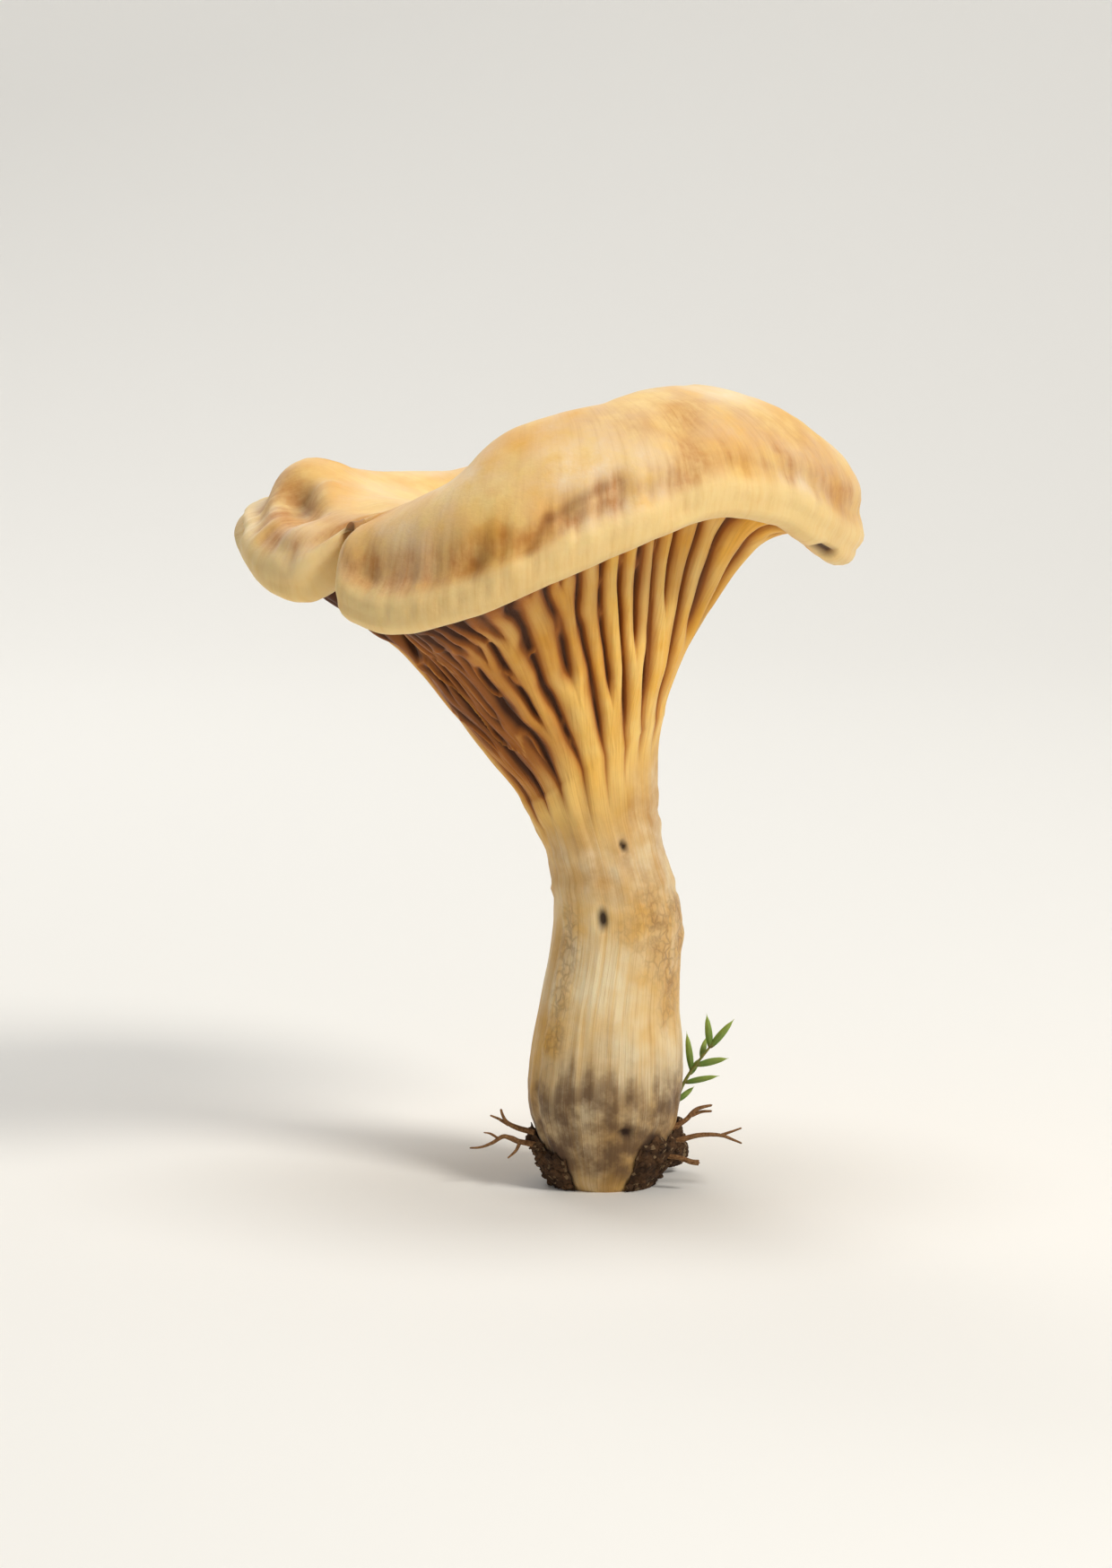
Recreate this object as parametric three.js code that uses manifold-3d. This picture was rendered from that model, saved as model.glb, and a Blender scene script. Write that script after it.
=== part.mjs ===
// A picked chanterelle mushroom standing on its cut foot, with soil, rootlets and a sprig of moss at it.
// Millimetres, +Z up. The origin is the middle of the cut foot, which lies on the ground plane z = 0.
// Angles go round the cap in degrees, from +X (the right end) through +Y (the back).

import * as THREE from 'three'
import { mergeVertices } from 'three/addons/utils/BufferGeometryUtils.js'
import Module from 'manifold-3d'

const wasm = await Module()
wasm.setup()

// ---------------------------------------------------------------- driving dimensions

// The cap's centre line leans to the left of the foot.
const CAP_AXIS = { x: -5, y: 0 }
const LIP = 3.4 // thickness of the rounded margin
const BOWL = { x: -10, y: 2.5, floor: 71 } // the hollow in the middle of the cap
const TUCK_SHARE = 0.3 // share of the upper face over which the margin tucks under
const WAVES = { count: 11, phase: 1, reach: 0.5, height: 0.6 } // waves of the margin, strongest at the back
const SWELLS = { count: 7, phase: 2.2, size: 0.55 } // low radial swells of the upper face

// One split in the margin, at the left front: wider towards the left lobe than away from it. It runs out
// at a share of the way in over the upper face, and starts at a share of the way up the underside.
const CLEFT = { angle: 212.5, widths: [6.2, 3], depth: 6.6, rise: 8.8, upper: 0.75, under: 0.5 }

// Round the cap: angle, reach from the centre line, height of the margin, height of the crest,
// slope at which the underside arrives at the margin, roundness of the shoulder, tuck of the margin,
// and the share of the way out at which the crest is reached.
const MARGIN = [
  [0, 35.2, 69.9, 89.0, 55, 3.8, 2.4, 0.5],
  [15, 35.0, 69.7, 88.0, 50, 3.6, 2.2, 0.5],
  [32, 34.6, 73.0, 87.0, 40, 3.4, 1.5, 0.52],
  [50, 34.2, 74.2, 85.5, 30, 3.2, 1.0, 0.55],
  [70, 33.4, 72.0, 84.5, 20, 3.0, 0.8, 0.6],
  [92, 31.6, 69.5, 84.0, 10, 3.0, 0.8, 0.62],
  [115, 30.5, 70.5, 82.0, 0, 2.8, 0.6, 0.68],
  [138, 33.0, 74.0, 80.0, -10, 2.4, 0.3, 0.74],
  [158, 35.4, 74.2, 80.6, -12, 2.1, 0.2, 0.76],
  [178, 36.4, 71.9, 81.8, -12, 2.0, 0.2, 0.78],
  [190, 35.2, 69.8, 82.0, -20, 2.1, 0.3, 0.78],
  [200, 33.7, 66.9, 81.9, -25, 2.3, 0.4, 0.76],
  [207, 32.6, 64.3, 81.8, -28, 2.5, 0.5, 0.74],
  [217, 31.4, 65.7, 82.2, -24, 2.6, 0.6, 0.72],
  [232, 30.6, 64.7, 85.2, -20, 2.7, 0.7, 0.7],
  [250, 29.9, 66.6, 88.6, -10, 2.8, 0.7, 0.68],
  [270, 29.0, 70.8, 90.2, 10, 3.0, 0.7, 0.66],
  [290, 28.6, 74.4, 90.6, 30, 3.2, 0.7, 0.62],
  [310, 28.6, 77.0, 90.9, 45, 3.4, 0.9, 0.58],
  [329, 30.5, 75.4, 91.2, 55, 3.6, 1.5, 0.55],
  [337, 32.2, 73.6, 90.9, 57, 3.7, 1.9, 0.53],
  [347, 33.9, 71.7, 90.6, 58, 3.8, 2.2, 0.52]
]

// Up the stem: height, left side, right side, half depth, middle of the depth.
const STEM = [
  [0, -4.8, 5.1, 5.0, 0],
  [1.2, -5.4, 5.7, 5.5, 0],
  [3.5, -6.4, 7.0, 6.7, 0],
  [6, -7.4, 8.0, 7.6, 0],
  [10, -8.5, 8.9, 8.5, 0.1],
  [15, -8.2, 9.0, 8.1, 0.3],
  [20, -7.2, 8.6, 7.6, 0.5],
  [26, -5.9, 8.8, 7.2, 0.5],
  [30, -5.4, 9.0, 7.0, 0.3],
  [34, -5.6, 8.3, 6.8, 0],
  [38, -6.2, 7.1, 6.6, -0.2],
  [43, -7.9, 6.2, 6.6, -0.3],
  [50, -9.5, 5.9, 6.8, -0.3],
  [60, -11.0, 6.0, 7.0, -0.3]
]
const STEM_RINGS = [0, 1.2, 3.5, 6, 8, 10, 15, 20, 26, 30, 34, 38]
const STEM_COLUMNS = 48

// The funnel: the underside leaves the stem at the neck and climbs to the margin as one curve.
const NECK = { height: 48.5, tilt: 5 } // higher on the right than on the left
const FILLET = { size: 0.65, run: 2.2 } // rounds the corner between stem and funnel
const CLIMB = { slope: 62, tilt: 8 } // slope at the neck, steeper on the right
// Lengths of the curve's handles as shares of its chord, longer on the right by the tilts.
const CURVE = { neck: 0.485, neckTilt: 0.125, margin: 0.32, marginTilt: 0.04 }

// The folds under the cap. Each is one ridge at the neck and forks in two on the way to the margin.
// Crests are broad and furrows narrow: between crests the height falls as 1 minus a power of the distance.
const FOLDS = { relief: 1.3, mean: 0.45, power: 2.4 }
const FOLD_ANGLES = [4, 25, 44, 63, 84, 103, 125, 144, 163, 184, 205, 224, 243, 263, 281, 297, 313, 335]
// The share of the way up the funnel at which each fold forks.
const FOLD_FORKS = [
  0.18, 0.22, 0.12, 0.25, 0.16, 0.2, 0.11, 0.24, 0.15, 0.22, 0.12, 0.2, 0.14, 0.2, 0.06, 0.14, 0.2, 0.12
]
const FOLD_RISE = 0.14 // share of the funnel over which the folds rise at the neck and fade at the margin
const FOLD_COLUMNS = 8 // columns of the mesh from one fold to the next
const FORK = { run: 0.16, columns: 2 } // a fork's length up the funnel, and how far its arms move apart
const SWEEP = { turn: 12, until: 0.5 } // the folds lean round as they run down to the stem
const NECK_RINGS = [0.35, 0.62] // rings between the last of the stem and the neck, as shares of the way
const COLLAR = 0.85 // the last ring below the neck, which already has the funnel's columns
const FUNNEL_RINGS = 20
const COLUMNS = FOLD_ANGLES.length * FOLD_COLUMNS
const LIP_RINGS = [0.25, 0.5, 0.75]

// Rings of the upper face: share of the way from the margin to the middle, and columns.
const CAP_RINGS = [
  [0, COLUMNS], [0.06, COLUMNS], [0.13, COLUMNS], [0.21, COLUMNS], [0.3, COLUMNS],
  [0.4, COLUMNS / 2], [0.5, COLUMNS / 2], [0.6, COLUMNS / 2],
  [0.7, COLUMNS / 4], [0.8, COLUMNS / 4], [0.9, COLUMNS / 8]
]

// Hollows and humps of the upper face: from and to (angle, share of the way in), depth and radius.
const DENTS = [
  { from: [226, 0.16], to: [242, 0.15], depth: 1.3, radius: 3.5 }, // beside the cleft
  { from: [202, 0.53], to: [234, 0.57], depth: 1.9, radius: 4.8 }, // valley between lobe and dome
  { from: [170, 0.78], to: [186, 0.78], depth: -1.5, radius: 4.5 }, // its floor, behind
  { from: [178, 0.37], to: [196, 0.37], depth: 1.9, radius: 2.3 }, // in the left lobe
  { from: [166, 0.43], to: [170, 0.43], depth: -2.6, radius: 4.5 }, // hump behind it
  { from: [180, 0.1], to: [162, 0.26], depth: 1.45, radius: 3.5 }, // the lobe's sloping left shoulder
  { from: [212, 0.08], to: [215, 0.4], depth: 0.6, radius: 1.2 }, // crease above the cleft
  { from: [252, 0.11], to: [253, 0.14], depth: 0.9, radius: 2.2 },
  { from: [306, 0.38], to: [298, 0.06], depth: 0.8, radius: 2.2 }, // furrow down the dome
  { from: [282, 0.22], to: [266, 0.11], depth: 0.5, radius: 1.5 }
]

// Soil stuck round the foot in two patches, clear of the flesh.
const SOIL = { gap: 0.4, thickness: 0.95, edge: 0.6, rows: [0, 0.2, 0.42, 0.64, 0.84, 1], columns: 22 }
const SOIL_TOP = { ends: 0.45, middle: 0.5, stray: 0.16 } // the upper edge, as shares of a patch's height
const SOIL_BODY = { thin: 0.35, thick: 0.75, lump: 0.45 } // shares of the thickness, and the lumps' size
const SOIL_LEFT = { from: 122, to: 232, height: 6.8, seed: 11 }
const SOIL_RIGHT = { from: 298, to: 422, height: 7.6, seed: 57 }
const CLOD = { x: 7.35, y: 6.3, z: 2.6, radius: 2.35, flatness: 0.85 } // the crumb that the moss stands in
const CLOD_SWELL = { size: 0.16, x: 2.4, y: 2.1, z: 2.3 } // how far its skin strays from round, in waves
// The hole in the crumb, round the moss's stalk.
const MOSS_HOLE = { radius: 0.72, below: 0.35, height: 6, sides: 16 }
const FOOT_ROOM = { heights: [0, 1.2, 3.5, 6, 8, 10, 15], below: -1, above: 16, slack: 0.02 }

// Rootlets in the soil: radius at the root and the tip, and the points along each.
const ROOTLETS_LEFT = [
  {
    root: 0.4,
    tip: 0.26,
    points: [[-7.8, -2, 6.2], [-9.6, -1.6, 6.7], [-10.7, -1.2, 7.2], [-11.4, -1, 8.6]]
  },
  { root: 0.34, tip: 0.26, points: [[-10.5, -1.3, 7.0], [-11.6, -0.8, 7.5], [-12.5, -0.6, 7.8]] },
  {
    root: 0.44,
    tip: 0.26,
    points: [[-7.4, -2.6, 4.9], [-9.4, -2.4, 5.3], [-11, -2.2, 5.8], [-12.4, -2, 5.0], [-13.6, -1.8, 4.5],
      [-14.7, -1.8, 4.4]]
  },
  { root: 0.34, tip: 0.26, points: [[-9.2, -2.4, 5.3], [-9.7, -3.2, 4.4], [-10.6, -4, 3.7]] }
]
const ROOTLETS_RIGHT = [
  { root: 0.4, tip: 0.26, points: [[8.0, -2, 6.6], [9.4, -2, 7.7], [10.6, -2.1, 8.9], [12.3, -2.2, 9.4]] },
  { root: 0.34, tip: 0.26, points: [[10.0, -2, 8.2], [11.1, -1.6, 8.5], [12.3, -1.2, 8.5]] },
  {
    root: 0.44,
    tip: 0.26,
    points: [[7.8, -2.6, 5.1], [10, -2.8, 5.9], [11.8, -3, 6.2], [13.5, -3.2, 6.0], [14.6, -3.4, 5.6],
      [15.6, -3.6, 5.4]]
  },
  { root: 0.34, tip: 0.26, points: [[13.1, -3.2, 6.1], [14.4, -3, 6.7], [15.5, -2.8, 7.1]] },
  { root: 0.36, tip: 0.34, points: [[7.0, -3.6, 3.9], [8.8, -4.2, 3.7], [10.7, -4.6, 3.3]] }
]
const ROOTLET_SIDES = 6
const ROD_STEPS = 3 // rings of a rod between two of its points

// The moss: a bent stalk and its leaves, each from base to tip.
const MOSS_STALK = [
  [8.1, 6.9, 3.2], [8.3, 7, 6], [8.8, 6.9, 8.8], [9.8, 6.5, 11], [11, 6, 12.8], [12.3, 5.5, 14.6]
]
const MOSS_STALK_RADIUS = { root: 0.4, tip: 0.3 }
const MOSS_LEAVES = [
  { from: [10.0, 6.4, 11.4], to: [9.6, 6.2, 16.3], width: 0.5 },
  { from: [12.2, 5.5, 14.4], to: [11.85, 5.4, 18.5], width: 0.5 },
  { from: [12.2, 5.5, 14.4], to: [15.05, 5.2, 17.9], width: 0.5 },
  { from: [10.6, 6.2, 12.2], to: [14.5, 5.8, 13.2], width: 0.5 },
  { from: [9.3, 6.7, 10.0], to: [13.5, 6.2, 11.1], width: 0.5 }
]
const LEAF = { thickness: 0.56, stalkShare: 0.45, sides: 8, rings: [0, 0.2, 0.45, 0.7, 0.9] }

// ---------------------------------------------------------------- small helpers

const radians = THREE.MathUtils.degToRad
const smooth = x => THREE.MathUtils.smoothstep(x, 0, 1)
const mix = THREE.MathUtils.lerp
const wrap = (value, period) => ((value % period) + period) % period

// An even spread of fixed, seemingly random numbers from 0 to 1.
function hash (k) {
  const value = Math.sin(k * 12.9898) * 43758.5453
  return value - Math.floor(value)
}

// The value between two stations of a table, with the slopes at both, as a cubic.
function cubic (t, step, a, slopeA, b, slopeB) {
  const t2 = t * t
  const t3 = t2 * t
  return (2 * t3 - 3 * t2 + 1) * a + (t3 - 2 * t2 + t) * step * slopeA +
    (3 * t2 - 2 * t3) * b + (t3 - t2) * step * slopeB
}

// Reads one column of MARGIN at any angle: a smooth closed curve through its stations.
function margin (angle, column) {
  const count = MARGIN.length
  const station = i => MARGIN[wrap(i, count)][0] + 360 * Math.floor(i / count)
  const value = i => MARGIN[wrap(i, count)][column]
  const slope = i => (value(i + 1) - value(i - 1)) / (station(i + 1) - station(i - 1))
  const at = wrap(angle, 360)
  let i = 0
  while (station(i + 1) <= at) i++
  const step = station(i + 1) - station(i)
  return cubic((at - station(i)) / step, step, value(i), slope(i), value(i + 1), slope(i + 1))
}

// Reads one column of STEM at any height: a smooth curve through its stations.
function stem (height, column) {
  const last = STEM.length - 1
  const clamp = i => Math.min(Math.max(i, 0), last)
  const slope = i => (STEM[clamp(i + 1)][column] - STEM[clamp(i - 1)][column]) /
    (STEM[clamp(i + 1)][0] - STEM[clamp(i - 1)][0])
  const at = Math.min(Math.max(height, 0), STEM[last][0])
  let i = 0
  while (i < last - 1 && STEM[i + 1][0] <= at) i++
  const step = STEM[i + 1][0] - STEM[i][0]
  const t = (at - STEM[i][0]) / step
  return cubic(t, step, STEM[i][column], slope(i), STEM[i + 1][column], slope(i + 1))
}

// ---------------------------------------------------------------- surfaces of the mushroom

// The stem's skin at a height, moved outwards by a clearance.
function stemPoint (angle, height, clearance = 0) {
  const a = radians(angle)
  const left = stem(height, 1)
  const right = stem(height, 2)
  return new THREE.Vector3(
    (left + right) / 2 + ((right - left) / 2 + clearance) * Math.cos(a),
    stem(height, 4) + (stem(height, 3) + clearance) * Math.sin(a),
    height
  )
}

// How much of the cleft an angle has: 1 in its middle, falling off to both sides.
function split (angle) {
  const away = wrap(angle - CLEFT.angle + 180, 360) - 180
  return Math.exp(-Math.pow(Math.abs(away) / CLEFT.widths[away < 0 ? 0 : 1], 1.6))
}

const waviness = angle => 0.55 + 0.45 * Math.sin(radians(angle))
const reach = (angle, fade = 1) => margin(angle, 1) - CLEFT.depth * split(angle) * fade +
  WAVES.reach * waviness(angle) * Math.sin(WAVES.count * radians(angle) + WAVES.phase)
const marginHeight = (angle, fade = 1) => margin(angle, 2) + CLEFT.rise * split(angle) * fade +
  WAVES.height * waviness(angle) * Math.sin((WAVES.count - 2) * radians(angle))

function aroundCap (angle, radius, height) {
  const a = radians(angle)
  return new THREE.Vector3(CAP_AXIS.x + radius * Math.cos(a), CAP_AXIS.y + radius * Math.sin(a), height)
}

const neckHeight = angle => NECK.height + NECK.tilt * Math.cos(radians(angle))

const fillet = distance => FILLET.size * Math.exp(-Math.abs(distance) / FILLET.run)

// The upper stem swells a little where it meets the funnel.
function necked (angle, height) {
  return stemPoint(angle, height, fillet(neckHeight(angle) - height))
}

// The smooth underside at a share of the way from the neck to the margin: a cubic curve from the stem's
// skin, leaving at the climb's slope, to the inner edge of the lip, arriving at the margin's slope.
function funnelBase (angle, share) {
  const a = radians(angle)
  const start = stemPoint(angle, neckHeight(angle))
  const fade = smooth((share - CLEFT.under) / (1 - CLEFT.under))
  const inner = reach(angle, fade) - margin(angle, 6) - LIP
  const end = aroundCap(angle, inner, marginHeight(angle, fade) + LIP / 2)
  const span = Math.hypot(end.x - start.x, end.y - start.y)
  const chord = Math.hypot(span, end.z - start.z)
  const climb = radians(CLIMB.slope + CLIMB.tilt * Math.cos(a))
  const arrive = radians(margin(angle, 4))
  const first = (CURVE.neck + CURVE.neckTilt * Math.cos(a)) * chord
  const second = (CURVE.margin + CURVE.marginTilt * Math.cos(a)) * chord
  const left = 1 - share
  const w1 = 3 * share * left * left
  const w2 = 3 * share * share * left
  const w3 = share * share * share
  const out = (w1 * first * Math.cos(climb) + w2 * (span - second * Math.cos(arrive)) + w3 * span) / span
  const point = new THREE.Vector3(
    mix(start.x, end.x, out),
    mix(start.y, end.y, out),
    left * left * left * start.z + w1 * (start.z + first * Math.sin(climb)) +
      w2 * (end.z + second * Math.sin(arrive)) + w3 * end.z
  )
  const swell = fillet(point.distanceTo(start))
  point.x += swell * Math.cos(a)
  point.y += swell * Math.sin(a)
  return point
}

// The outward normal of a surface given by angle and share, turned by side (1 or -1).
function normalOf (surface, angle, share, side) {
  const turn = 0.5
  const step = 0.004
  const across = surface(angle + turn, share).sub(surface(angle - turn, share))
  const along = surface(angle, Math.min(share + step, 1)).sub(surface(angle, Math.max(share - step, 0)))
  return across.cross(along).normalize().multiplyScalar(side)
}

// A fold's angle at the margin, counted on past the last fold.
const foldAngle = i => FOLD_ANGLES[wrap(i, FOLD_ANGLES.length)] + 360 * Math.floor(i / FOLD_ANGLES.length)

// How far a column stands up as a ridge: 1 on a crest, 0 in a furrow.
function ridge (column, share) {
  const fold = Math.round(column / FOLD_COLUMNS)
  const fork = FOLD_FORKS[wrap(fold, FOLD_FORKS.length)]
  const offset = FORK.columns * smooth((share - fork) / FORK.run)
  const away = Math.abs(column - fold * FOLD_COLUMNS)
  const outside = (away - offset) / (FOLD_COLUMNS / 2 - offset)
  const fall = away > offset ? outside : (offset - away) / FORK.columns
  return 1 - Math.pow(Math.min(fall, 1), FOLDS.power)
}

function columnAngle (column) {
  const fold = Math.floor(column / FOLD_COLUMNS)
  return mix(foldAngle(fold), foldAngle(fold + 1), column / FOLD_COLUMNS - fold)
}
const sweep = share => SWEEP.turn * Math.pow(Math.max(1 - share / SWEEP.until, 0), 2)

// The underside with its folds: the smooth funnel moved out along its normal by the ridges.
function funnelPoint (column, share) {
  const angle = columnAngle(column) + sweep(share)
  const relief = FOLDS.relief * smooth(share / FOLD_RISE) * smooth((1 - share) / FOLD_RISE)
  const out = relief * (ridge(column, share) - FOLDS.mean)
  return funnelBase(angle, share).addScaledVector(normalOf(funnelBase, angle, share, 1), out)
}

// The smooth upper face at a share of the way from the margin to the middle. Its height is a bowl that
// climbs to the crest, less the roll of the shoulder: 1 minus a superellipse.
function capBase (angle, share) {
  const out = Math.cos(share * Math.PI / 2)
  const shift = (1 - out) * (1 - out)
  const fade = Math.pow(Math.max(1 - share / CLEFT.upper, 0), 2)
  const tuck = margin(angle, 6) * Math.pow(Math.max(1 - share / TUCK_SHARE, 0), 2)
  const crest = margin(angle, 3)
  const bowl = BOWL.floor + (crest - BOWL.floor) * smooth(out / margin(angle, 7))
  const roll = 1 - Math.sqrt(1 - Math.pow(out, margin(angle, 5)))
  const swell = SWELLS.size * waviness(angle) * smooth((1 - out) * 3) * smooth(out * 3) *
    Math.sin(SWELLS.count * radians(angle) + SWELLS.phase)
  const height = bowl + swell - (crest - marginHeight(angle, fade) - LIP / 2) * roll
  const point = aroundCap(angle, out * reach(angle, fade) - tuck, height)
  point.x += (BOWL.x - CAP_AXIS.x) * shift
  point.y += (BOWL.y - CAP_AXIS.y) * shift
  return point
}

const dentLines = DENTS.map(dent => ({
  line: new THREE.Line3(capBase(...dent.from), capBase(...dent.to)),
  depth: dent.depth,
  radius: dent.radius
}))

function capPoint (angle, share) {
  const point = capBase(angle, share)
  let depth = 0
  for (const dent of dentLines) {
    const nearest = dent.line.closestPointToPoint(point, true, new THREE.Vector3())
    depth += dent.depth * Math.exp(-Math.pow(nearest.distanceTo(point) / dent.radius, 2))
  }
  return point.addScaledVector(normalOf(capBase, angle, Math.max(share, 0.02), 1), -depth)
}

// The rounded lip between them, as half a circle from the inner edge to the outer.
function lipPoint (angle, share) {
  const turn = Math.PI * share
  const radius = reach(angle) - margin(angle, 6) - LIP / 2 - LIP / 2 * Math.cos(turn)
  return aroundCap(angle, radius, marginHeight(angle) + LIP / 2 - LIP / 2 * Math.sin(turn))
}

// ---------------------------------------------------------------- meshes

// Collects rings of points from the foot upwards and joins each to the next.
class Shell {
  constructor () {
    this.positions = []
    this.triangles = []
  }

  point (vector) {
    this.positions.push(vector.x, vector.y, vector.z)
    return this.positions.length / 3 - 1
  }

  // A ring is a list of points at rising angles, the first and last less than a full turn apart.
  ring (angles, at) {
    return angles.map(angle => ({ angle, index: this.point(at(angle)) }))
  }

  // Joins two rings of any counts by always taking the step that keeps their angles together.
  join (low, high) {
    let i = 0
    let j = 0
    const angleOf = (ring, k) => ring[k % ring.length].angle + 360 * Math.floor(k / ring.length)
    const indexOf = (ring, k) => ring[k % ring.length].index
    const apart = high[0].angle - low[0].angle
    while (i < low.length || j < high.length) {
      const lowNext = (angleOf(low, i) + angleOf(low, i + 1)) / 2
      const highNext = (angleOf(high, j) + angleOf(high, j + 1)) / 2 - apart
      if (j === high.length || (i < low.length && lowNext <= highNext)) {
        this.triangles.push(indexOf(low, i), indexOf(low, i + 1), indexOf(high, j))
        i++
      } else {
        this.triangles.push(indexOf(low, i), indexOf(high, j + 1), indexOf(high, j))
        j++
      }
    }
  }

  // Closes a ring to one point, facing down (side -1) or up (side 1).
  close (ring, vector, side) {
    const tip = this.point(vector)
    for (let k = 0; k < ring.length; k++) {
      const here = ring[k].index
      const next = ring[(k + 1) % ring.length].index
      if (side > 0) this.triangles.push(here, next, tip)
      else this.triangles.push(next, here, tip)
    }
  }

  geometry () {
    const geometry = new THREE.BufferGeometry()
    geometry.setAttribute('position', new THREE.Float32BufferAttribute(this.positions, 3))
    geometry.setIndex(this.triangles)
    return geometry
  }
}

const evenAngles = (count, start = 0) => Array.from({ length: count }, (_, k) => start + 360 * k / count)

// Cap, folds and stem are one growth: foot, stem, funnel, lip and upper face in one closed skin.
function fruitBody () {
  const shell = new Shell()
  const stemAngles = evenAngles(STEM_COLUMNS, FOLD_ANGLES[0] + SWEEP.turn)
  const columns = Array.from({ length: COLUMNS }, (_, k) => k)
  const angles = columns.map(columnAngle)
  let below = null

  const climb = ring => {
    if (below) shell.join(below, ring)
    below = ring
  }

  for (const height of STEM_RINGS) {
    climb(shell.ring(stemAngles, angle => necked(angle, height)))
    if (height === 0) shell.close(below, new THREE.Vector3(0, 0, 0), -1)
  }
  const lastRing = STEM_RINGS[STEM_RINGS.length - 1]
  const belowNeck = share => angle => necked(angle, mix(lastRing, neckHeight(angle), share))
  for (const share of NECK_RINGS) climb(shell.ring(stemAngles, belowNeck(share)))
  climb(shell.ring(angles.map(angle => angle + SWEEP.turn), belowNeck(COLLAR)))

  for (let k = 0; k < FUNNEL_RINGS; k++) {
    const share = k / (FUNNEL_RINGS - 1)
    const folded = column => shell.point(funnelPoint(column, share))
    climb(columns.map(column => ({ angle: angles[column] + sweep(share), index: folded(column) })))
  }
  for (const share of LIP_RINGS) climb(shell.ring(angles, angle => lipPoint(angle, share)))
  for (const [share, count] of CAP_RINGS) {
    const every = COLUMNS / count
    climb(shell.ring(angles.filter((_, k) => k % every === 0), angle => capPoint(angle, share)))
  }
  shell.close(below, capPoint(0, 1), 1)
  return shell.geometry()
}

// A tapering round rod through a list of points, closed at both ends.
function taperedRod (points, rootRadius, tipRadius) {
  const curve = new THREE.CatmullRomCurve3(points.map(p => new THREE.Vector3(...p)))
  const steps = (points.length - 1) * ROD_STEPS
  const frames = curve.computeFrenetFrames(steps, false)
  const shell = new Shell()
  let below = null
  for (let k = 0; k <= steps; k++) {
    const centre = curve.getPointAt(k / steps)
    const radius = mix(rootRadius, tipRadius, k / steps)
    const ring = shell.ring(evenAngles(ROOTLET_SIDES), angle => centre.clone()
      .addScaledVector(frames.normals[k], radius * Math.cos(radians(angle)))
      .addScaledVector(frames.binormals[k], radius * Math.sin(radians(angle))))
    if (below) shell.join(below, ring)
    else shell.close(ring, centre, -1)
    below = ring
  }
  shell.close(below, curve.getPointAt(1).addScaledVector(frames.tangents[steps], tipRadius), 1)
  return shell.geometry()
}

// A flat leaf from base to tip, widest in its lower half, closed at both ends.
function leaf (from, to, width) {
  const start = new THREE.Vector3(...from)
  const end = new THREE.Vector3(...to)
  const along = end.clone().sub(start)
  const across = new THREE.Vector3(0, 1, 0).cross(along).normalize()
  const through = along.clone().cross(across).normalize()
  const shell = new Shell()
  let below = null
  for (const share of LEAF.rings) {
    const bulge = Math.sin(Math.PI * Math.min(share * 1.1 + 0.08, 1))
    const half = width * mix(bulge, 1, LEAF.stalkShare)
    const centre = start.clone().addScaledVector(along, share)
    const ring = shell.ring(evenAngles(LEAF.sides), angle => centre.clone()
      .addScaledVector(across, half * Math.cos(radians(angle)))
      .addScaledVector(through, LEAF.thickness / 2 * Math.sin(radians(angle))))
    if (below) shell.join(below, ring)
    else shell.close(ring, centre, -1)
    below = ring
  }
  shell.close(below, end, 1)
  return shell.geometry()
}

// A crescent of soil that follows the foot: thick in its middle, thin at its ends, lumpy outside.
// Height and thickness follow the root of a half sine along it; each point strays by a fixed amount.
function soilPatch (patch) {
  const positions = []
  const triangles = []
  const rows = SOIL.rows.length
  const loop = rows * 2
  for (let c = 0; c <= SOIL.columns; c++) {
    const share = c / SOIL.columns
    const angle = mix(patch.from, patch.to, share)
    const middle = Math.sqrt(Math.sin(Math.PI * mix(0.04, 0.96, share)))
    const stray = SOIL_TOP.stray * (hash(patch.seed + c) - 0.5)
    const top = patch.height * (SOIL_TOP.ends + SOIL_TOP.middle * middle + stray)
    const outer = SOIL.rows.map((row, r) => {
      const lump = SOIL_BODY.lump * (hash(patch.seed * 3 + c * 7 + r * 31) - 0.5)
      const body = Math.sin(Math.PI * (0.25 + 0.6 * row))
      const full = SOIL_BODY.thin + SOIL_BODY.thick * middle * body
      return stemPoint(angle, top * row, SOIL.gap + Math.max(SOIL.edge, SOIL.thickness * full + lump))
    })
    const inner = SOIL.rows.map(row => stemPoint(angle, top * row, SOIL.gap)).reverse()
    for (const point of [...outer, ...inner]) positions.push(point.x, point.y, point.z)
  }
  for (let c = 0; c < SOIL.columns; c++) {
    for (let k = 0; k < loop; k++) {
      const a = c * loop + k
      const b = c * loop + (k + 1) % loop
      triangles.push(a, a + loop, b + loop, a, b + loop, b)
    }
  }
  const last = SOIL.columns * loop
  for (let r = 0; r < rows - 1; r++) {
    const inner = loop - 1 - r
    triangles.push(r, r + 1, inner, r + 1, inner - 1, inner)
    triangles.push(last + r + 1, last + r, last + inner, last + inner - 1, last + r + 1, last + inner)
  }
  const geometry = new THREE.BufferGeometry()
  geometry.setAttribute('position', new THREE.Float32BufferAttribute(positions, 3))
  geometry.setIndex(triangles)
  return geometry
}

// ---------------------------------------------------------------- joins and cuts

function solidOf (geometry) {
  const bare = geometry.clone()
  bare.deleteAttribute('normal')
  bare.deleteAttribute('uv')
  const merged = mergeVertices(bare, 1e-4)
  return new wasm.Manifold(new wasm.Mesh({
    numProp: 3,
    vertProperties: new Float32Array(merged.attributes.position.array),
    triVerts: new Uint32Array(merged.index.array)
  }))
}

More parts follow.
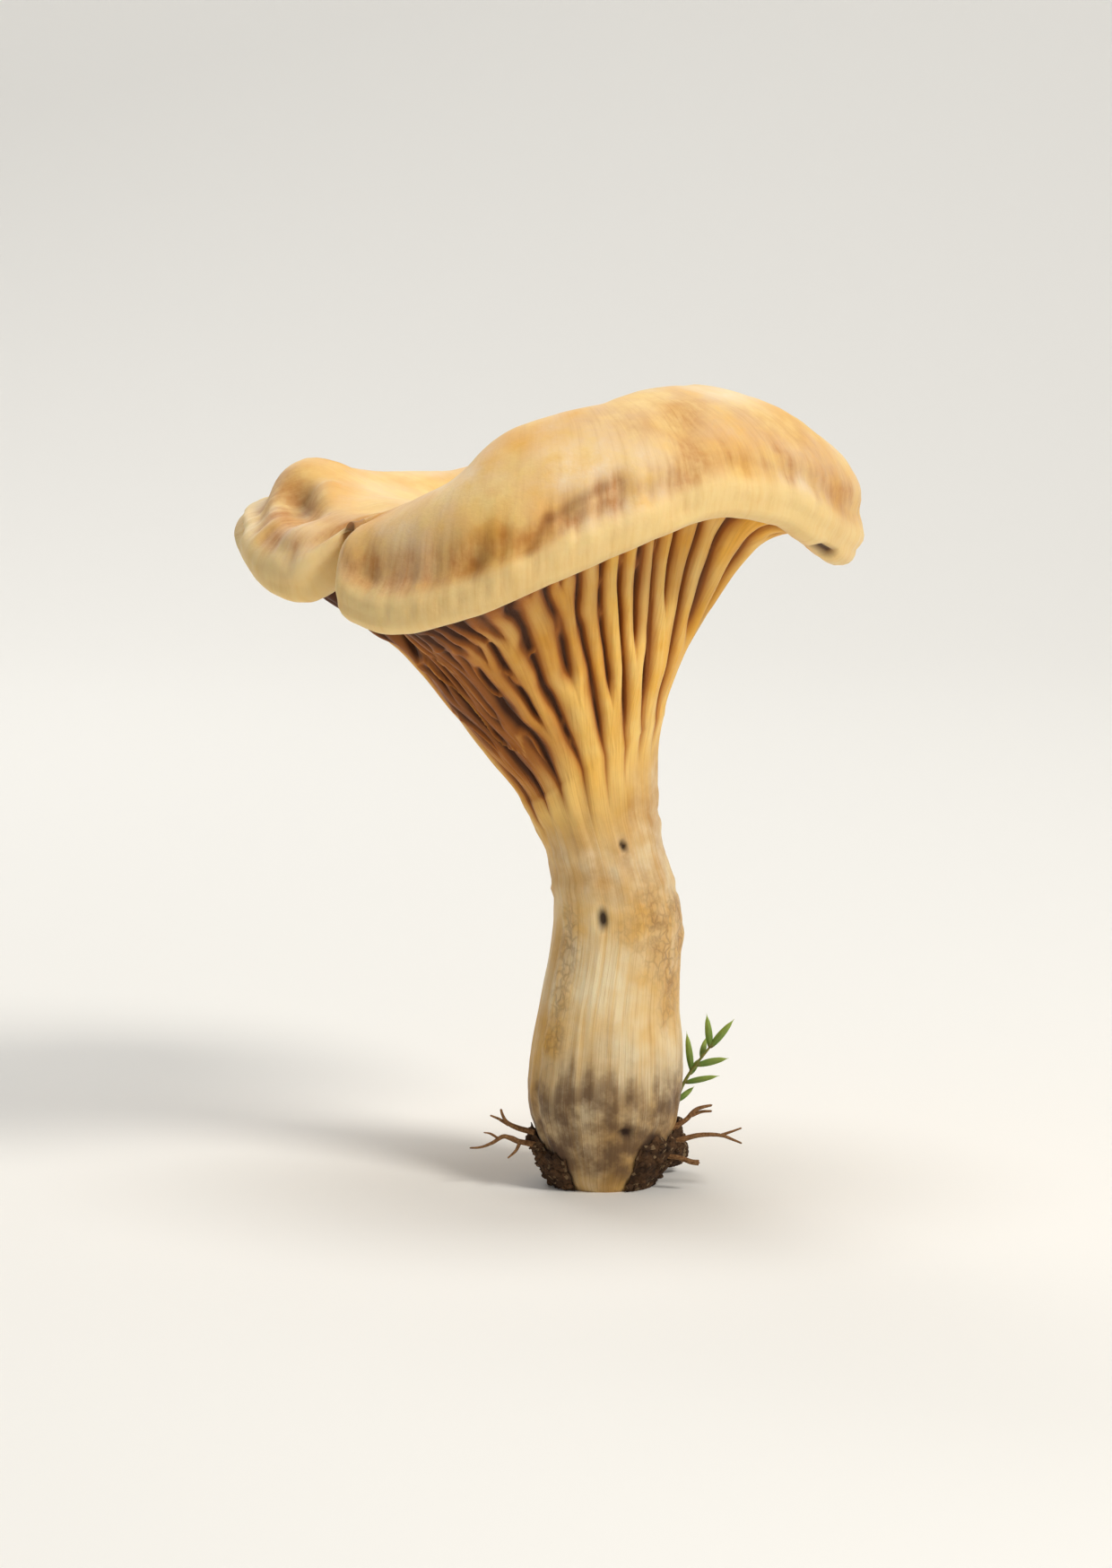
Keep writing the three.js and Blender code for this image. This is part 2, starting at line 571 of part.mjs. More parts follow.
function geometryOf (solid) {
  const mesh = solid.getMesh()
  const geometry = new THREE.BufferGeometry()
  geometry.setAttribute('position', new THREE.BufferAttribute(mesh.vertProperties, 3))
  geometry.setIndex(new THREE.BufferAttribute(mesh.triVerts, 1))
  return geometry
}

const joined = solids => solids.reduce((whole, solid) => whole.add(solid))

// The lowest part of the stem grown by the gap, to keep rootlets and crumbs clear of the flesh.
function footRoom () {
  const shell = new Shell()
  const angles = evenAngles(STEM_COLUMNS)
  let below = null
  for (const height of FOOT_ROOM.heights) {
    const ring = shell.ring(angles, angle => stemPoint(angle, height, SOIL.gap - FOOT_ROOM.slack))
    if (below) shell.join(below, ring)
    else shell.close(ring, new THREE.Vector3(0, 0, FOOT_ROOM.below), -1)
    below = ring
  }
  shell.close(below, new THREE.Vector3(0, 0, FOOT_ROOM.above), 1)
  return solidOf(shell.geometry())
}

function soil (patch, rootlets, extras = []) {
  const parts = [solidOf(soilPatch(patch)), ...extras]
  for (const twig of rootlets) parts.push(solidOf(taperedRod(twig.points, twig.root, twig.tip)))
  return joined(parts).subtract(footRoom())
}

function clod () {
  const lump = new THREE.IcosahedronGeometry(CLOD.radius, 2)
  const position = lump.attributes.position
  for (let k = 0; k < position.count; k++) {
    const p = new THREE.Vector3().fromBufferAttribute(position, k)
    const waves = Math.sin(CLOD_SWELL.x * p.x + 1) * Math.sin(CLOD_SWELL.y * p.y + 2)
    const swell = 1 + CLOD_SWELL.size * waves * Math.cos(CLOD_SWELL.z * p.z)
    position.setXYZ(k, CLOD.x + p.x * swell, CLOD.y + p.y * swell, CLOD.z + p.z * swell * CLOD.flatness)
  }
  return solidOf(lump)
}

function mossHole () {
  const { radius, height, sides, below } = MOSS_HOLE
  const [x, y, z] = MOSS_STALK[0]
  const hole = new THREE.CylinderGeometry(radius, radius, height, sides)
  hole.rotateX(Math.PI / 2)
  hole.translate(x, y, z - below + height / 2)
  return solidOf(hole)
}

function mossSprig () {
  const stalk = solidOf(taperedRod(MOSS_STALK, MOSS_STALK_RADIUS.root, MOSS_STALK_RADIUS.tip))
  return joined([stalk, ...MOSS_LEAVES.map(blade => solidOf(leaf(blade.from, blade.to, blade.width)))])
}

// ---------------------------------------------------------------- the object

const materials = {
  flesh: new THREE.MeshStandardMaterial({ color: '#d9a441', roughness: 0.62, metalness: 0 }),
  soil: new THREE.MeshStandardMaterial({ color: '#4a3524', roughness: 0.95, metalness: 0 }),
  moss: new THREE.MeshStandardMaterial({ color: '#6f7f35', roughness: 0.8, metalness: 0 })
}

function named (name, geometry, material) {
  geometry.computeVertexNormals()
  const mesh = new THREE.Mesh(geometry, material)
  mesh.name = name
  return mesh
}

const chanterelle = new THREE.Group()
chanterelle.add(named('fruit_body', fruitBody(), materials.flesh))
chanterelle.add(named('soil_left', geometryOf(soil(SOIL_LEFT, ROOTLETS_LEFT)), materials.soil))
chanterelle.add(named(
  'soil_right',
  geometryOf(soil(SOIL_RIGHT, ROOTLETS_RIGHT, [clod()]).subtract(mossHole())),
  materials.soil
))
chanterelle.add(named('moss_sprig', geometryOf(mossSprig()), materials.moss))

export default chanterelle
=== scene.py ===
import math

import bpy
import numpy as np
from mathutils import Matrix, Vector


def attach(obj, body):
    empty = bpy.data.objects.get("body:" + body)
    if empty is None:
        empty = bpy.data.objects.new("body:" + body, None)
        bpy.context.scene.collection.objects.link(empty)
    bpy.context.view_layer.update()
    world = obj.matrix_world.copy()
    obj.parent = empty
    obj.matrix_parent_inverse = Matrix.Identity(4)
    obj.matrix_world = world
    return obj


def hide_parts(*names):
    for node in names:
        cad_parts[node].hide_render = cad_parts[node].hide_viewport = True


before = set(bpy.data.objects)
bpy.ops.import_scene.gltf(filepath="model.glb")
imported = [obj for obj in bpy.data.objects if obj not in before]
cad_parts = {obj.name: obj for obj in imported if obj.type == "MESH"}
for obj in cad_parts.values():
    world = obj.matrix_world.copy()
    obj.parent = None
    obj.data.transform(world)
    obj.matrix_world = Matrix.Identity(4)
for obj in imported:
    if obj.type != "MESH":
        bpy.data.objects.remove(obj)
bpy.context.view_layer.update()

# A picked chanterelle standing on its cut foot. Sizes are in millimetres until a mesh is made.
# Angles go round the cap in degrees, from +X (the right end) through +Y (the back).
mm = 0.001


# ---- numbers and noise

def smooth(x):
    # smoothstep: 3x^2 - 2x^3 with x held between 0 and 1
    x = np.clip(x, 0, 1)
    return x * x * (3 - 2 * x)


def mix(a, b, share):
    return a + (b - a) * share


def bell(x):
    # 1 at 0, falling off to both sides: e to the power of minus x^2
    return np.exp(-x ** 2)


def angleFrom(angle, middle):
    # the way round from one angle to another, from -180 to 180 degrees
    return np.mod(angle - middle + 180, 360) - 180


def scatter(k):
    # an even spread of fixed numbers from 0 to 1: the fraction of 43758.5453 sin(12.9898 k)
    value = np.sin(np.asarray(k, float) * 12.9898) * 43758.5453
    return value - np.floor(value)


def latticeValue(i, j, k, seed):
    # a fixed number from -1 to 1 for each point of a whole-number lattice
    n = i.astype(np.int64) * 73856093 ^ j.astype(np.int64) * 19349663
    n = (n ^ k.astype(np.int64) * 83492791 ^ seed * 15485863) & 0xFFFFFFFF
    n = ((n ^ n >> 16) * 0x45D9F3B) & 0xFFFFFFFF
    n = ((n ^ n >> 16) * 0x45D9F3B) & 0xFFFFFFFF
    return (n ^ n >> 16) / 2147483647.5 - 1


def noise(x, y, z, seed=0):
    # smooth noise from -1 to 1: the lattice's values blended between its points
    x, y, z = np.broadcast_arrays(np.asarray(x, float), y, z)
    i, j, k = np.floor(x), np.floor(y), np.floor(z)
    u, v, w = smooth(x - i), smooth(y - j), smooth(z - k)
    total = np.zeros(x.shape)
    for a in (0, 1):
        for b in (0, 1):
            for c in (0, 1):
                weight = (u if a else 1 - u) * (v if b else 1 - v) * (w if c else 1 - w)
                total += weight * latticeValue(i + a, j + b, k + c, seed)
    return total


def noiseRound(angle, radius, along, seed):
    # noise that goes round without a seam: read on a circle of a given radius, and along the growth
    a = np.radians(angle)
    return noise(radius * np.cos(a), radius * np.sin(a), along, seed)


def cloud(points, size, seed=0, octaves=3):
    # noise of a given size in millimetres, with finer and weaker noise added to it
    p = points / size
    total, strength, whole = 0, 1.0, 0
    for octave in range(octaves):
        total = total + strength * noise(p[..., 0], p[..., 1], p[..., 2], seed + octave)
        whole += strength
        p, strength = p * 2.03 + 7.7, strength * 0.5
    return total / whole


def crumbs(points, size, seed=0):
    # rounded grains: 1 at the middle of the nearest of a lattice of strayed points, 0 a grain's width away
    p = points / size
    base = np.floor(p)
    nearest = np.full(p.shape[:-1], 9.0)
    for a in (-1, 0, 1):
        for b in (-1, 0, 1):
            for c in (-1, 0, 1):
                cell = base + np.array([a, b, c])
                stray = [latticeValue(cell[..., 0], cell[..., 1], cell[..., 2], seed + s) for s in (1, 2, 3)]
                centre = cell + 0.5 + 0.4 * np.stack(stray, -1)
                nearest = np.minimum(nearest, np.linalg.norm(p - centre, axis=-1))
    return np.clip(1 - nearest ** 2, 0, 1)


def readStations(table, column, at, turn=0):
    # a smooth curve through a table's stations: cubics whose slope at a station comes from its neighbours
    keys = np.array([row[0] for row in table], float)
    values = np.array([row[column] for row in table], float)
    if turn:
        at = np.mod(at, turn)
        keys = np.concatenate([keys[-2:] - turn, keys, keys[:2] + turn])
        values = np.concatenate([values[-2:], values, values[:2]])
    else:
        at = np.clip(at, keys[0], keys[-1])
    i = np.arange(len(keys))
    low, high = np.maximum(i - 1, 0), np.minimum(i + 1, len(keys) - 1)
    slopes = (values[high] - values[low]) / (keys[high] - keys[low])
    k = np.clip(np.searchsorted(keys, at, side="right") - 1, 0, len(keys) - 2)
    step = keys[k + 1] - keys[k]
    t = (at - keys[k]) / step
    blend = 3 * t ** 2 - 2 * t ** 3
    return ((1 - blend) * values[k] + (t ** 3 - 2 * t ** 2 + t) * step * slopes[k]
            + blend * values[k + 1] + (t ** 3 - t ** 2) * step * slopes[k + 1])


# ---- meshes

def newObject(name, data):
    # an object at the origin, in the scene
    thing = bpy.data.objects.new(name, data)
    bpy.context.scene.collection.objects.link(thing)
    return thing


def makePiece(name, points, quads, triangles, material, node, facts):
    # puts whole arrays into a mesh, smooth shaded, and gives it the node's place on the body
    faces = [np.asarray(f, np.int32).reshape(-1, n) for f, n in ((quads, 4), (triangles, 3))]
    corners = np.concatenate([f.ravel() for f in faces])
    counts = np.repeat(np.array([4, 3], np.int32), [len(f) for f in faces])
    mesh = bpy.data.meshes.new(name)
    mesh.vertices.add(len(points))
    mesh.vertices.foreach_set("co", (points * mm).astype(np.float32).ravel())
    mesh.loops.add(len(corners))
    mesh.loops.foreach_set("vertex_index", corners)
    mesh.polygons.add(len(counts))
    mesh.polygons.foreach_set("loop_start", (np.cumsum(counts) - counts).astype(np.int32))
    mesh.update(calc_edges=True)
    for key, values in facts.items():
        kind, field = ("FLOAT", "value") if values.ndim == 1 else ("FLOAT_VECTOR", "vector")
        mesh.attributes.new(key, kind, "POINT").data.foreach_set(field, values.astype(np.float32).ravel())
    mesh.validate()
    mesh.shade_smooth()
    mesh.materials.append(material)
    piece = newObject(name, mesh)
    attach(piece, "root")
    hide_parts(node)
    print(name, len(points), "points", len(faces[0]) * 2 + len(faces[1]), "triangles")


def ringQuads(low, high, count):
    # the quads between two rings of the same count, given the index of each ring's first point
    i = np.arange(count)
    j = (i + 1) % count
    return np.stack([low + i, low + j, high + j, high + i], 1)


def ringFan(fine, coarse, count, ratio):
    # the triangles between a ring and one above it with a whole number of times fewer points, or one point
    whole, half = ratio * count, ratio // 2
    i = np.arange(count)[:, None]
    here = (ratio * i + np.arange(ratio) - half) % whole
    fan = np.stack(np.broadcast_arrays(fine + here, fine + (here + 1) % whole, coarse + i), -1)
    i = np.arange(count if count > 1 else 0)
    across = np.stack([fine + (ratio * (i + 1) - half) % whole, coarse + (i + 1) % count, coarse + i], 1)
    return np.concatenate([fan.reshape(-1, 3), across])


def closedRings(rings, first, last):
    # a closed skin: quads from ring to ring, and a fan to one point before the first ring and after the last
    rows, count = rings.shape[:2]
    size = rows * count
    quads = np.concatenate([ringQuads(k * count, (k + 1) * count, count) for k in range(rows - 1)])
    fans = np.concatenate([ringFan(0, size, 1, count)[:, ::-1], ringFan(size - count, size + 1, 1, count)])
    return np.concatenate([rings.reshape(-1, 3), [first], [last]]), quads, fans


def joinParts(parts):
    # one mesh from parts of points, quads, triangles and facts, each a number for the part or for every point
    starts = np.cumsum([0] + [len(part[0]) for part in parts[:-1]])
    points = np.concatenate([part[0] for part in parts])
    quads, triangles = [np.concatenate([part[k] + start for part, start in zip(parts, starts)])
                        for k in (1, 2)]
    facts = [np.concatenate([np.broadcast_to(part[k], len(part[0])) for part in parts])
             for k in range(3, len(parts[0]))]
    return points, quads, triangles, *facts


# ---- the fruit body: one growth of stem, funnel with forking folds, margin and cap

body = dict(
    # the margin, the bowl and the cleft in them
    axisX=-5.0, lip=3.4, bowlX=-10.0, bowlY=2.5, bowlFloor=71.0, tuckShare=0.3,
    cleftAngle=212.5, cleftLeft=6.2, cleftRight=3.0, cleftPower=1.6, cleftDepth=6.6, cleftRise=8.8,
    cleftFade=0.75, cleftUnder=0.5,
    waveCount=11, wavePhase=1.0, waveReach=0.5, waveHeight=0.6,
    swellCount=7, swellPhase=2.2, swellSize=0.55,
    # the neck, the funnel's curve and the folds on it
    neckHeight=48.5, neckTilt=5.0, filletSize=0.65, filletRun=2.2,
    climb=62.0, climbTilt=8.0, handleNeck=0.485, handleTilt=0.125, handleMargin=0.32, handleMarginTilt=0.04,
    sweep=12.0, sweepUntil=0.5, forkRun=0.16, secondFrom=0.5, secondSpread=0.3, secondRun=0.2,
    foldWander=0.7, foldJitter=0.3, veinWidth=0.15, veinHeight=0.85, darkForksSooner=0.2, darkLower=0.15,
    relief=1.4, crestPower=2.4, crestLevel=0.35, foldGrain=0.07, fineFoldGrain=0.06, foldLumps=0.18,
    # the collar, and the crowded left side of the underside, where shade is painted into the furrows
    collar=12.0, collarRelief=0.42, shadedSideAngle=222, shadedSideWidth=32,
    # relief of the stem's skin and of the cap's
    stemRadius=9.0, fibre=0.17, fineFibre=0.085, stemLumps=0.3, stemWrinkles=0.24, flakes=0.4,
    footLumps=0.24, footWrinkles=0.13, pitRadius=7.0,
    flankAngle=-33, flankWidth=28, flankWander=34, flankFrom=17, flankTo=40,
    stripAngle=222, stripWidth=12, stripFrom=13, stripTo=35, stripShare=0.8,
    bead=0.36, beadAt=1.6, beadWidth=1.3, groove=0.6, grooveAt=4.1, grooveWidth=1.2,
    rimWrinkles=0.36, fibrils=0.05, capLumps=0.34, capFineLumps=0.13,
    grainRound=32, grainAlong=0.08,
    # points round the growth, and rows of its stem, collar, funnel and margin
    columns=648, crowding=2.5, stemRows=88, collarRows=21, funnelRows=56, marginRows=8,
    # bands of the upper face: from and to as a share of the way in, rows, and which columns go on
    upperBands=((0, 0.225, 16, 1), (0.24, 0.60, 19, 2), (0.63, 0.84, 8, 4), (0.87, 0.96, 3, 12)),
)
# the angle of each fold at the margin, and the share of the way up the funnel at which it forks
foldAngles = np.array([
    4.0, 25, 44, 63, 84, 103, 125, 144, 163, 184, 205, 224, 243, 263, 281, 297, 313, 335])
foldForks = np.array([
    0.18, 0.22, 0.12, 0.25, 0.16, 0.2, 0.11, 0.24, 0.15, 0.22, 0.12, 0.2, 0.14, 0.2, 0.06, 0.14, 0.2, 0.12])
# angle, reach, margin height, crest height, slope at which the underside arrives, shoulder's roundness, tuck,
# crest's share of the way out
marginStations = [
    (0, 35.2, 69.9, 89.0, 55, 3.8, 2.4, 0.5), (15, 35.0, 69.7, 88.0, 50, 3.6, 2.2, 0.5),
    (32, 34.6, 73.0, 87.0, 40, 3.4, 1.5, 0.52), (50, 34.2, 74.2, 85.5, 30, 3.2, 1.0, 0.55),
    (70, 33.4, 72.0, 84.5, 20, 3.0, 0.8, 0.6), (92, 31.6, 69.5, 84.0, 10, 3.0, 0.8, 0.62),
    (115, 30.5, 70.5, 82.0, 0, 2.8, 0.6, 0.68), (138, 33.0, 74.0, 80.0, -10, 2.4, 0.3, 0.74),
    (158, 35.4, 74.2, 80.6, -12, 2.1, 0.2, 0.76), (178, 36.4, 71.9, 81.8, -12, 2.0, 0.2, 0.78),
    (190, 35.2, 69.8, 82.0, -20, 2.1, 0.3, 0.78), (200, 33.7, 66.9, 81.9, -25, 2.3, 0.4, 0.76),
    (207, 32.6, 64.3, 81.8, -28, 2.5, 0.5, 0.74), (217, 31.4, 65.7, 82.2, -24, 2.6, 0.6, 0.72),
    (232, 30.6, 64.7, 85.2, -20, 2.7, 0.7, 0.7), (250, 29.9, 66.6, 88.6, -10, 2.8, 0.7, 0.68),
    (270, 29.0, 70.8, 90.2, 10, 3.0, 0.7, 0.66), (290, 28.6, 74.4, 90.6, 30, 3.2, 0.7, 0.62),
    (310, 28.6, 77.0, 90.9, 45, 3.4, 0.9, 0.58), (329, 30.5, 75.4, 91.2, 55, 3.6, 1.5, 0.55),
    (337, 32.2, 73.6, 90.9, 57, 3.7, 1.9, 0.53), (347, 33.9, 71.7, 90.6, 58, 3.8, 2.2, 0.52),
]
# height, left side, right side, half depth, middle of the depth
stemStations = [
    (0, -4.8, 5.1, 5.0, 0), (1.2, -5.4, 5.7, 5.5, 0), (3.5, -6.4, 7.0, 6.7, 0), (6, -7.4, 8.0, 7.6, 0),
    (10, -8.5, 8.9, 8.5, 0.1), (15, -8.2, 9.0, 8.1, 0.3), (20, -7.2, 8.6, 7.6, 0.5),
    (26, -5.9, 8.8, 7.2, 0.5), (30, -5.4, 9.0, 7.0, 0.3), (34, -5.6, 8.3, 6.8, 0),
    (38, -6.2, 7.1, 6.6, -0.2), (43, -7.9, 6.2, 6.6, -0.3), (50, -9.5, 5.9, 6.8, -0.3),
    (60, -11.0, 6.0, 7.0, -0.3),
]
# hollows and humps of the upper face: from and to (angle, share of the way in), depth, radius
dents = [
    ((226, 0.16), (242, 0.15), 1.3, 3.5), ((202, 0.53), (234, 0.57), 1.9, 4.8),
    ((170, 0.78), (186, 0.78), -1.5, 4.5), ((183, 0.41), (196, 0.37), 2.1, 2.2),
    ((166, 0.43), (170, 0.43), -2.6, 4.5), ((214, 0.26), (219, 0.42), 0.2, 1.6),
    ((252, 0.11), (253, 0.14), 1.0, 2.0), ((306, 0.38), (298, 0.06), 0.9, 2.2),
    ((283, 0.21), (271, 0.17), 0.7, 1.2), ((271, 0.17), (263, 0.09), 0.8, 1.3),
    ((186, 0.50), (204, 0.22), -0.8, 2.2), ((212, 0.08), (214, 0.36), 0.7, 0.9),
    ((214, 0.36), (216, 0.46), 0.4, 0.9), ((180, 0.10), (162, 0.26), 1.45, 3.5),
]
# darker ochre on the cap's skin, painted shade over its hollows and crease and a darker tone elsewhere: from
# and to, strength, radius
ochrePatches = [
    ((226, 0.17), (240, 0.14), 0.9, 3.2), ((178, 0.37), (196, 0.37), 1.3, 2.4),
    ((250, 0.10), (254, 0.13), 1.0, 2.0), ((300, 0.12), (308, 0.42), 0.8, 2.6),
    ((283, 0.21), (263, 0.09), 0.9, 1.4), ((283, 0.50), (292, 0.42), 0.6, 3.5),
    ((338, 0.28), (345, 0.14), 0.6, 4.0), ((205, 0.40), (224, 0.48), 0.5, 3.0),
    ((212, 0.05), (216, 0.43), 1.0, 1.3), ((318, 0.50), (325, 0.35), 0.5, 4.0),
    ((40, 0.30), (70, 0.45), 0.6, 4.0), ((110, 0.20), (125, 0.35), 0.7, 3.0),
]
# painted shade in the cap's hollows and crease, darker still: from and to, strength, radius
hollowShades = [
    ((182, 0.43), (190, 0.39), 0.45, 1.7), ((251.5, 0.09), (253, 0.13), 0.32, 1.5),
    ((212, 0.0), (213, 0.25), 0.5, 1.4), ((213, 0.25), (216, 0.43), 0.35, 0.7),
    ((264, 0.08), (268, 0.17), 0.3, 0.7), ((268, 0.17), (281, 0.22), 0.3, 0.8),
    ((228, 0.17), (238, 0.14), 0.16, 2.2),
]
# a hollow under the left of the cap: from and to in the funnel's angle and share, depth, radius
funnelDents = [((203, 0.52), (203, 0.61), 1.1, 2.6)]
# a small dark hollow in the rim under the drooping right end: from and to in the rim's angle and share,
# depth, radius
# the hollow is also darkened in the flesh's colour as painted shade
rimHollows = [((343.2, 0.56), (347.6, 0.62), 1.25, 1.0)]
# small pits in the stem's skin: angle, height, half width, half height, depth
stemPits = [
    (255, 31.2, 0.58, 1.2, 0.8), (289, 39.4, 0.5, 0.55, 0.6), (287, 7.2, 0.8, 0.6, 0.7),
    (120, 28.0, 0.45, 0.8, 0.55), (75, 33.0, 0.45, 0.5, 0.4),
]
# what each point of the flesh knows of its place, for the material: the furrows' darkening, part of the ochre
# and the dark hollows are painted shade, and the pale rim a painted highlight
fleshFacts = ("furrow", "under", "upper", "earth", "bloom", "ochre", "rim", "dark", "scaly")


def margin(angle, column):
    # a column of the margin's table, all the way round
    return readStations(marginStations, column, angle, 360)


def stemSkin(angle, height, clearance=0):
    # an oval that moves and widens with the height: its middle plus half its width times cos and sin
    a = np.radians(angle)
    left, right, half, middle = [readStations(stemStations, column, height) for column in (1, 2, 3, 4)]
    x = (left + right) / 2 + ((right - left) / 2 + clearance) * np.cos(a)
    y = middle + (half + clearance) * np.sin(a)
    return np.stack(np.broadcast_arrays(x, y, height), -1)


def split(angle):
    # 1 in the middle of the cleft and 0 beyond its two lips
    away = angleFrom(angle, body["cleftAngle"])
    width = np.where(away < 0, body["cleftLeft"], body["cleftRight"])
    return np.exp(-np.abs(away / width) ** body["cleftPower"])


def inCleft(angle, width):
    # 1 in the cleft, a little to its right, where the lips press on each other
    return bell(angleFrom(angle, body["cleftAngle"] + 1) / width)


def waviness(angle):
    # the margin waves most at the back and least at the front
    return 0.55 + 0.45 * np.sin(np.radians(angle))


def reach(angle, fade=1.0):
    # how far the margin stands from the axis: its table, drawn in at the cleft, and waves
    wave = waviness(angle) * np.sin(body["waveCount"] * np.radians(angle) + body["wavePhase"])
    return margin(angle, 1) - body["cleftDepth"] * split(angle) * fade + body["waveReach"] * wave


def marginHeight(angle, fade=1.0):
    # how high the margin's lower edge is: its table, raised in the cleft, and waves
    wave = waviness(angle) * np.sin((body["waveCount"] - 2) * np.radians(angle))
    return margin(angle, 2) + body["cleftRise"] * split(angle) * fade + body["waveHeight"] * wave


def neckHeight(angle):
    # where the stem turns into the funnel, a tilted circle
    return body["neckHeight"] + body["neckTilt"] * np.cos(np.radians(angle))


def fillet(distance):
    # how much the neck is filled out, less with the distance from it: e to the power of minus the distance
    return body["filletSize"] * np.exp(-np.abs(distance) / body["filletRun"])


def neckedStem(angle, height):
    # the stem's skin with the neck's fillet
    return stemSkin(angle, height, fillet(neckHeight(angle) - height))


def funnelSkin(angle, share):
    # a cubic curve from the neck, leaving at the climb's slope, to the lip's inner edge, carried round
    a = np.radians(angle)
    start = stemSkin(angle, neckHeight(angle))
    fade = smooth((share - body["cleftUnder"]) / (1 - body["cleftUnder"]))
    inner = reach(angle, fade) - margin(angle, 6) - body["lip"]
    endX, endY = body["axisX"] + inner * np.cos(a), inner * np.sin(a)
    endZ = marginHeight(angle, fade) + body["lip"] / 2
    span = np.hypot(endX - start[..., 0], endY - start[..., 1])
    chord = np.hypot(span, endZ - start[..., 2])
    climb = np.radians(body["climb"] + body["climbTilt"] * np.cos(a))
    arrive = np.radians(margin(angle, 4))
    first = (body["handleNeck"] + body["handleTilt"] * np.cos(a)) * chord
    second = (body["handleMargin"] + body["handleMarginTilt"] * np.cos(a)) * chord
    left = 1 - share
    w1, w2, w3 = 3 * share * left ** 2, 3 * share ** 2 * left, share ** 3
    out = (w1 * first * np.cos(climb) + w2 * (span - second * np.cos(arrive)) + w3 * span) / span
    x, y = mix(start[..., 0], endX, out), mix(start[..., 1], endY, out)
    z = (left ** 3 * start[..., 2] + w1 * (start[..., 2] + first * np.sin(climb))
         + w2 * (endZ + second * np.sin(arrive)) + w3 * endZ)
    skin = np.stack([x, y, z], -1)
    swell = fillet(np.linalg.norm(skin - start, axis=-1))
    return skin + swell[..., None] * np.stack([np.cos(a), np.sin(a), 0 * a], -1)


def capSkin(angle, share):
    # a bowl that climbs to the crest, less the roll of the shoulder: 1 minus a superellipse
    a = np.radians(angle)
    fade = np.clip(1 - share / body["cleftFade"], 0, 1) ** 2
    out = np.cos(share * np.pi / 2)
    shift = (1 - out) ** 2
    tuck = margin(angle, 6) * np.clip(1 - share / body["tuckShare"], 0, 1) ** 2
    crest = margin(angle, 3)
    bowl = body["bowlFloor"] + (crest - body["bowlFloor"]) * smooth(out / margin(angle, 7))
    swell = (body["swellSize"] * waviness(angle) * smooth((1 - out) * 3) * smooth(out * 3)
             * np.sin(body["swellCount"] * a + body["swellPhase"]))
    roll = 1 - np.sqrt(np.clip(1 - out ** margin(angle, 5), 0, 1))
    radius = out * reach(angle, fade) - tuck
    x = body["axisX"] + radius * np.cos(a) + (body["bowlX"] - body["axisX"]) * shift
    y = radius * np.sin(a) + body["bowlY"] * shift
    z = bowl + swell - (crest - marginHeight(angle, fade) - body["lip"] / 2) * roll
    return np.stack(np.broadcast_arrays(x, y, z), -1)


def lipSkin(angle, share):
    # half a circle from the underside's edge to the upper face's
    a, turn = np.radians(angle), np.pi * share
    half = body["lip"] / 2
    radius = reach(angle) - margin(angle, 6) - half - half * np.cos(turn)
    z = marginHeight(angle) + half - half * np.sin(turn)
    return np.stack(np.broadcast_arrays(body["axisX"] + radius * np.cos(a), radius * np.sin(a), z), -1)


def outward(surface, angle, share, turn=0.5, step=0.004, high=1.0):
    # the surface's normal: the way round crossed with the way along
    across = surface(angle + turn, share) - surface(angle - turn, share)
    along = surface(angle, np.minimum(share + step, high)) - surface(angle, np.maximum(share - step, 0))
    normal = np.cross(across, along)
    return normal / np.linalg.norm(normal, axis=-1, keepdims=True)


def bumpField(skin, marks, points):
    # the sum of each mark's strength times a bell round the line between its two places on the skin
    total = np.zeros(points.shape[:-1])
    for (start, end, strength, radius) in marks:
        a, b = skin(*start), skin(*end)
        line = b - a
        length = max(line @ line, 1e-9)    # so that a mark may start and end in one place
        t = np.clip(((points - a) @ line) / length, 0, 1)
        total += strength * bell(np.linalg.norm(points - (a + t[..., None] * line), axis=-1) / radius)
    return total


def foldAngle(i):
    # the angle of a fold, counted on past the last one
    count = len(foldAngles)
    return foldAngles[np.mod(i, count).astype(int)] + 360 * np.floor(i / count)


def columnAngle(column):
    # columns are counted in eighths of the way from one fold to the next
    fold = np.floor(column / 8)
    return mix(foldAngle(fold), foldAngle(fold + 1), column / 8 - fold)


def spreadColumns(count):
    # columns round the mushroom, closer together where the margin turns sharply at its cleft
    whole = 8 * len(foldAngles)
    place = np.linspace(0, whole, 40 * whole + 1)
    crowd = 1 + body["crowding"] * np.sqrt(split(columnAngle(place)))
    passed = np.concatenate([[0], np.cumsum((crowd[1:] + crowd[:-1]) / 2)])
    return np.interp(np.arange(count) * passed[-1] / count, passed, place)


def crowdedShadedSide(angle):
    # the left of the underside, where the folds are crowded and net-veined, and where shade is painted into
    # the furrows
    return bell(angleFrom(angle, body["shadedSideAngle"]) / body["shadedSideWidth"])


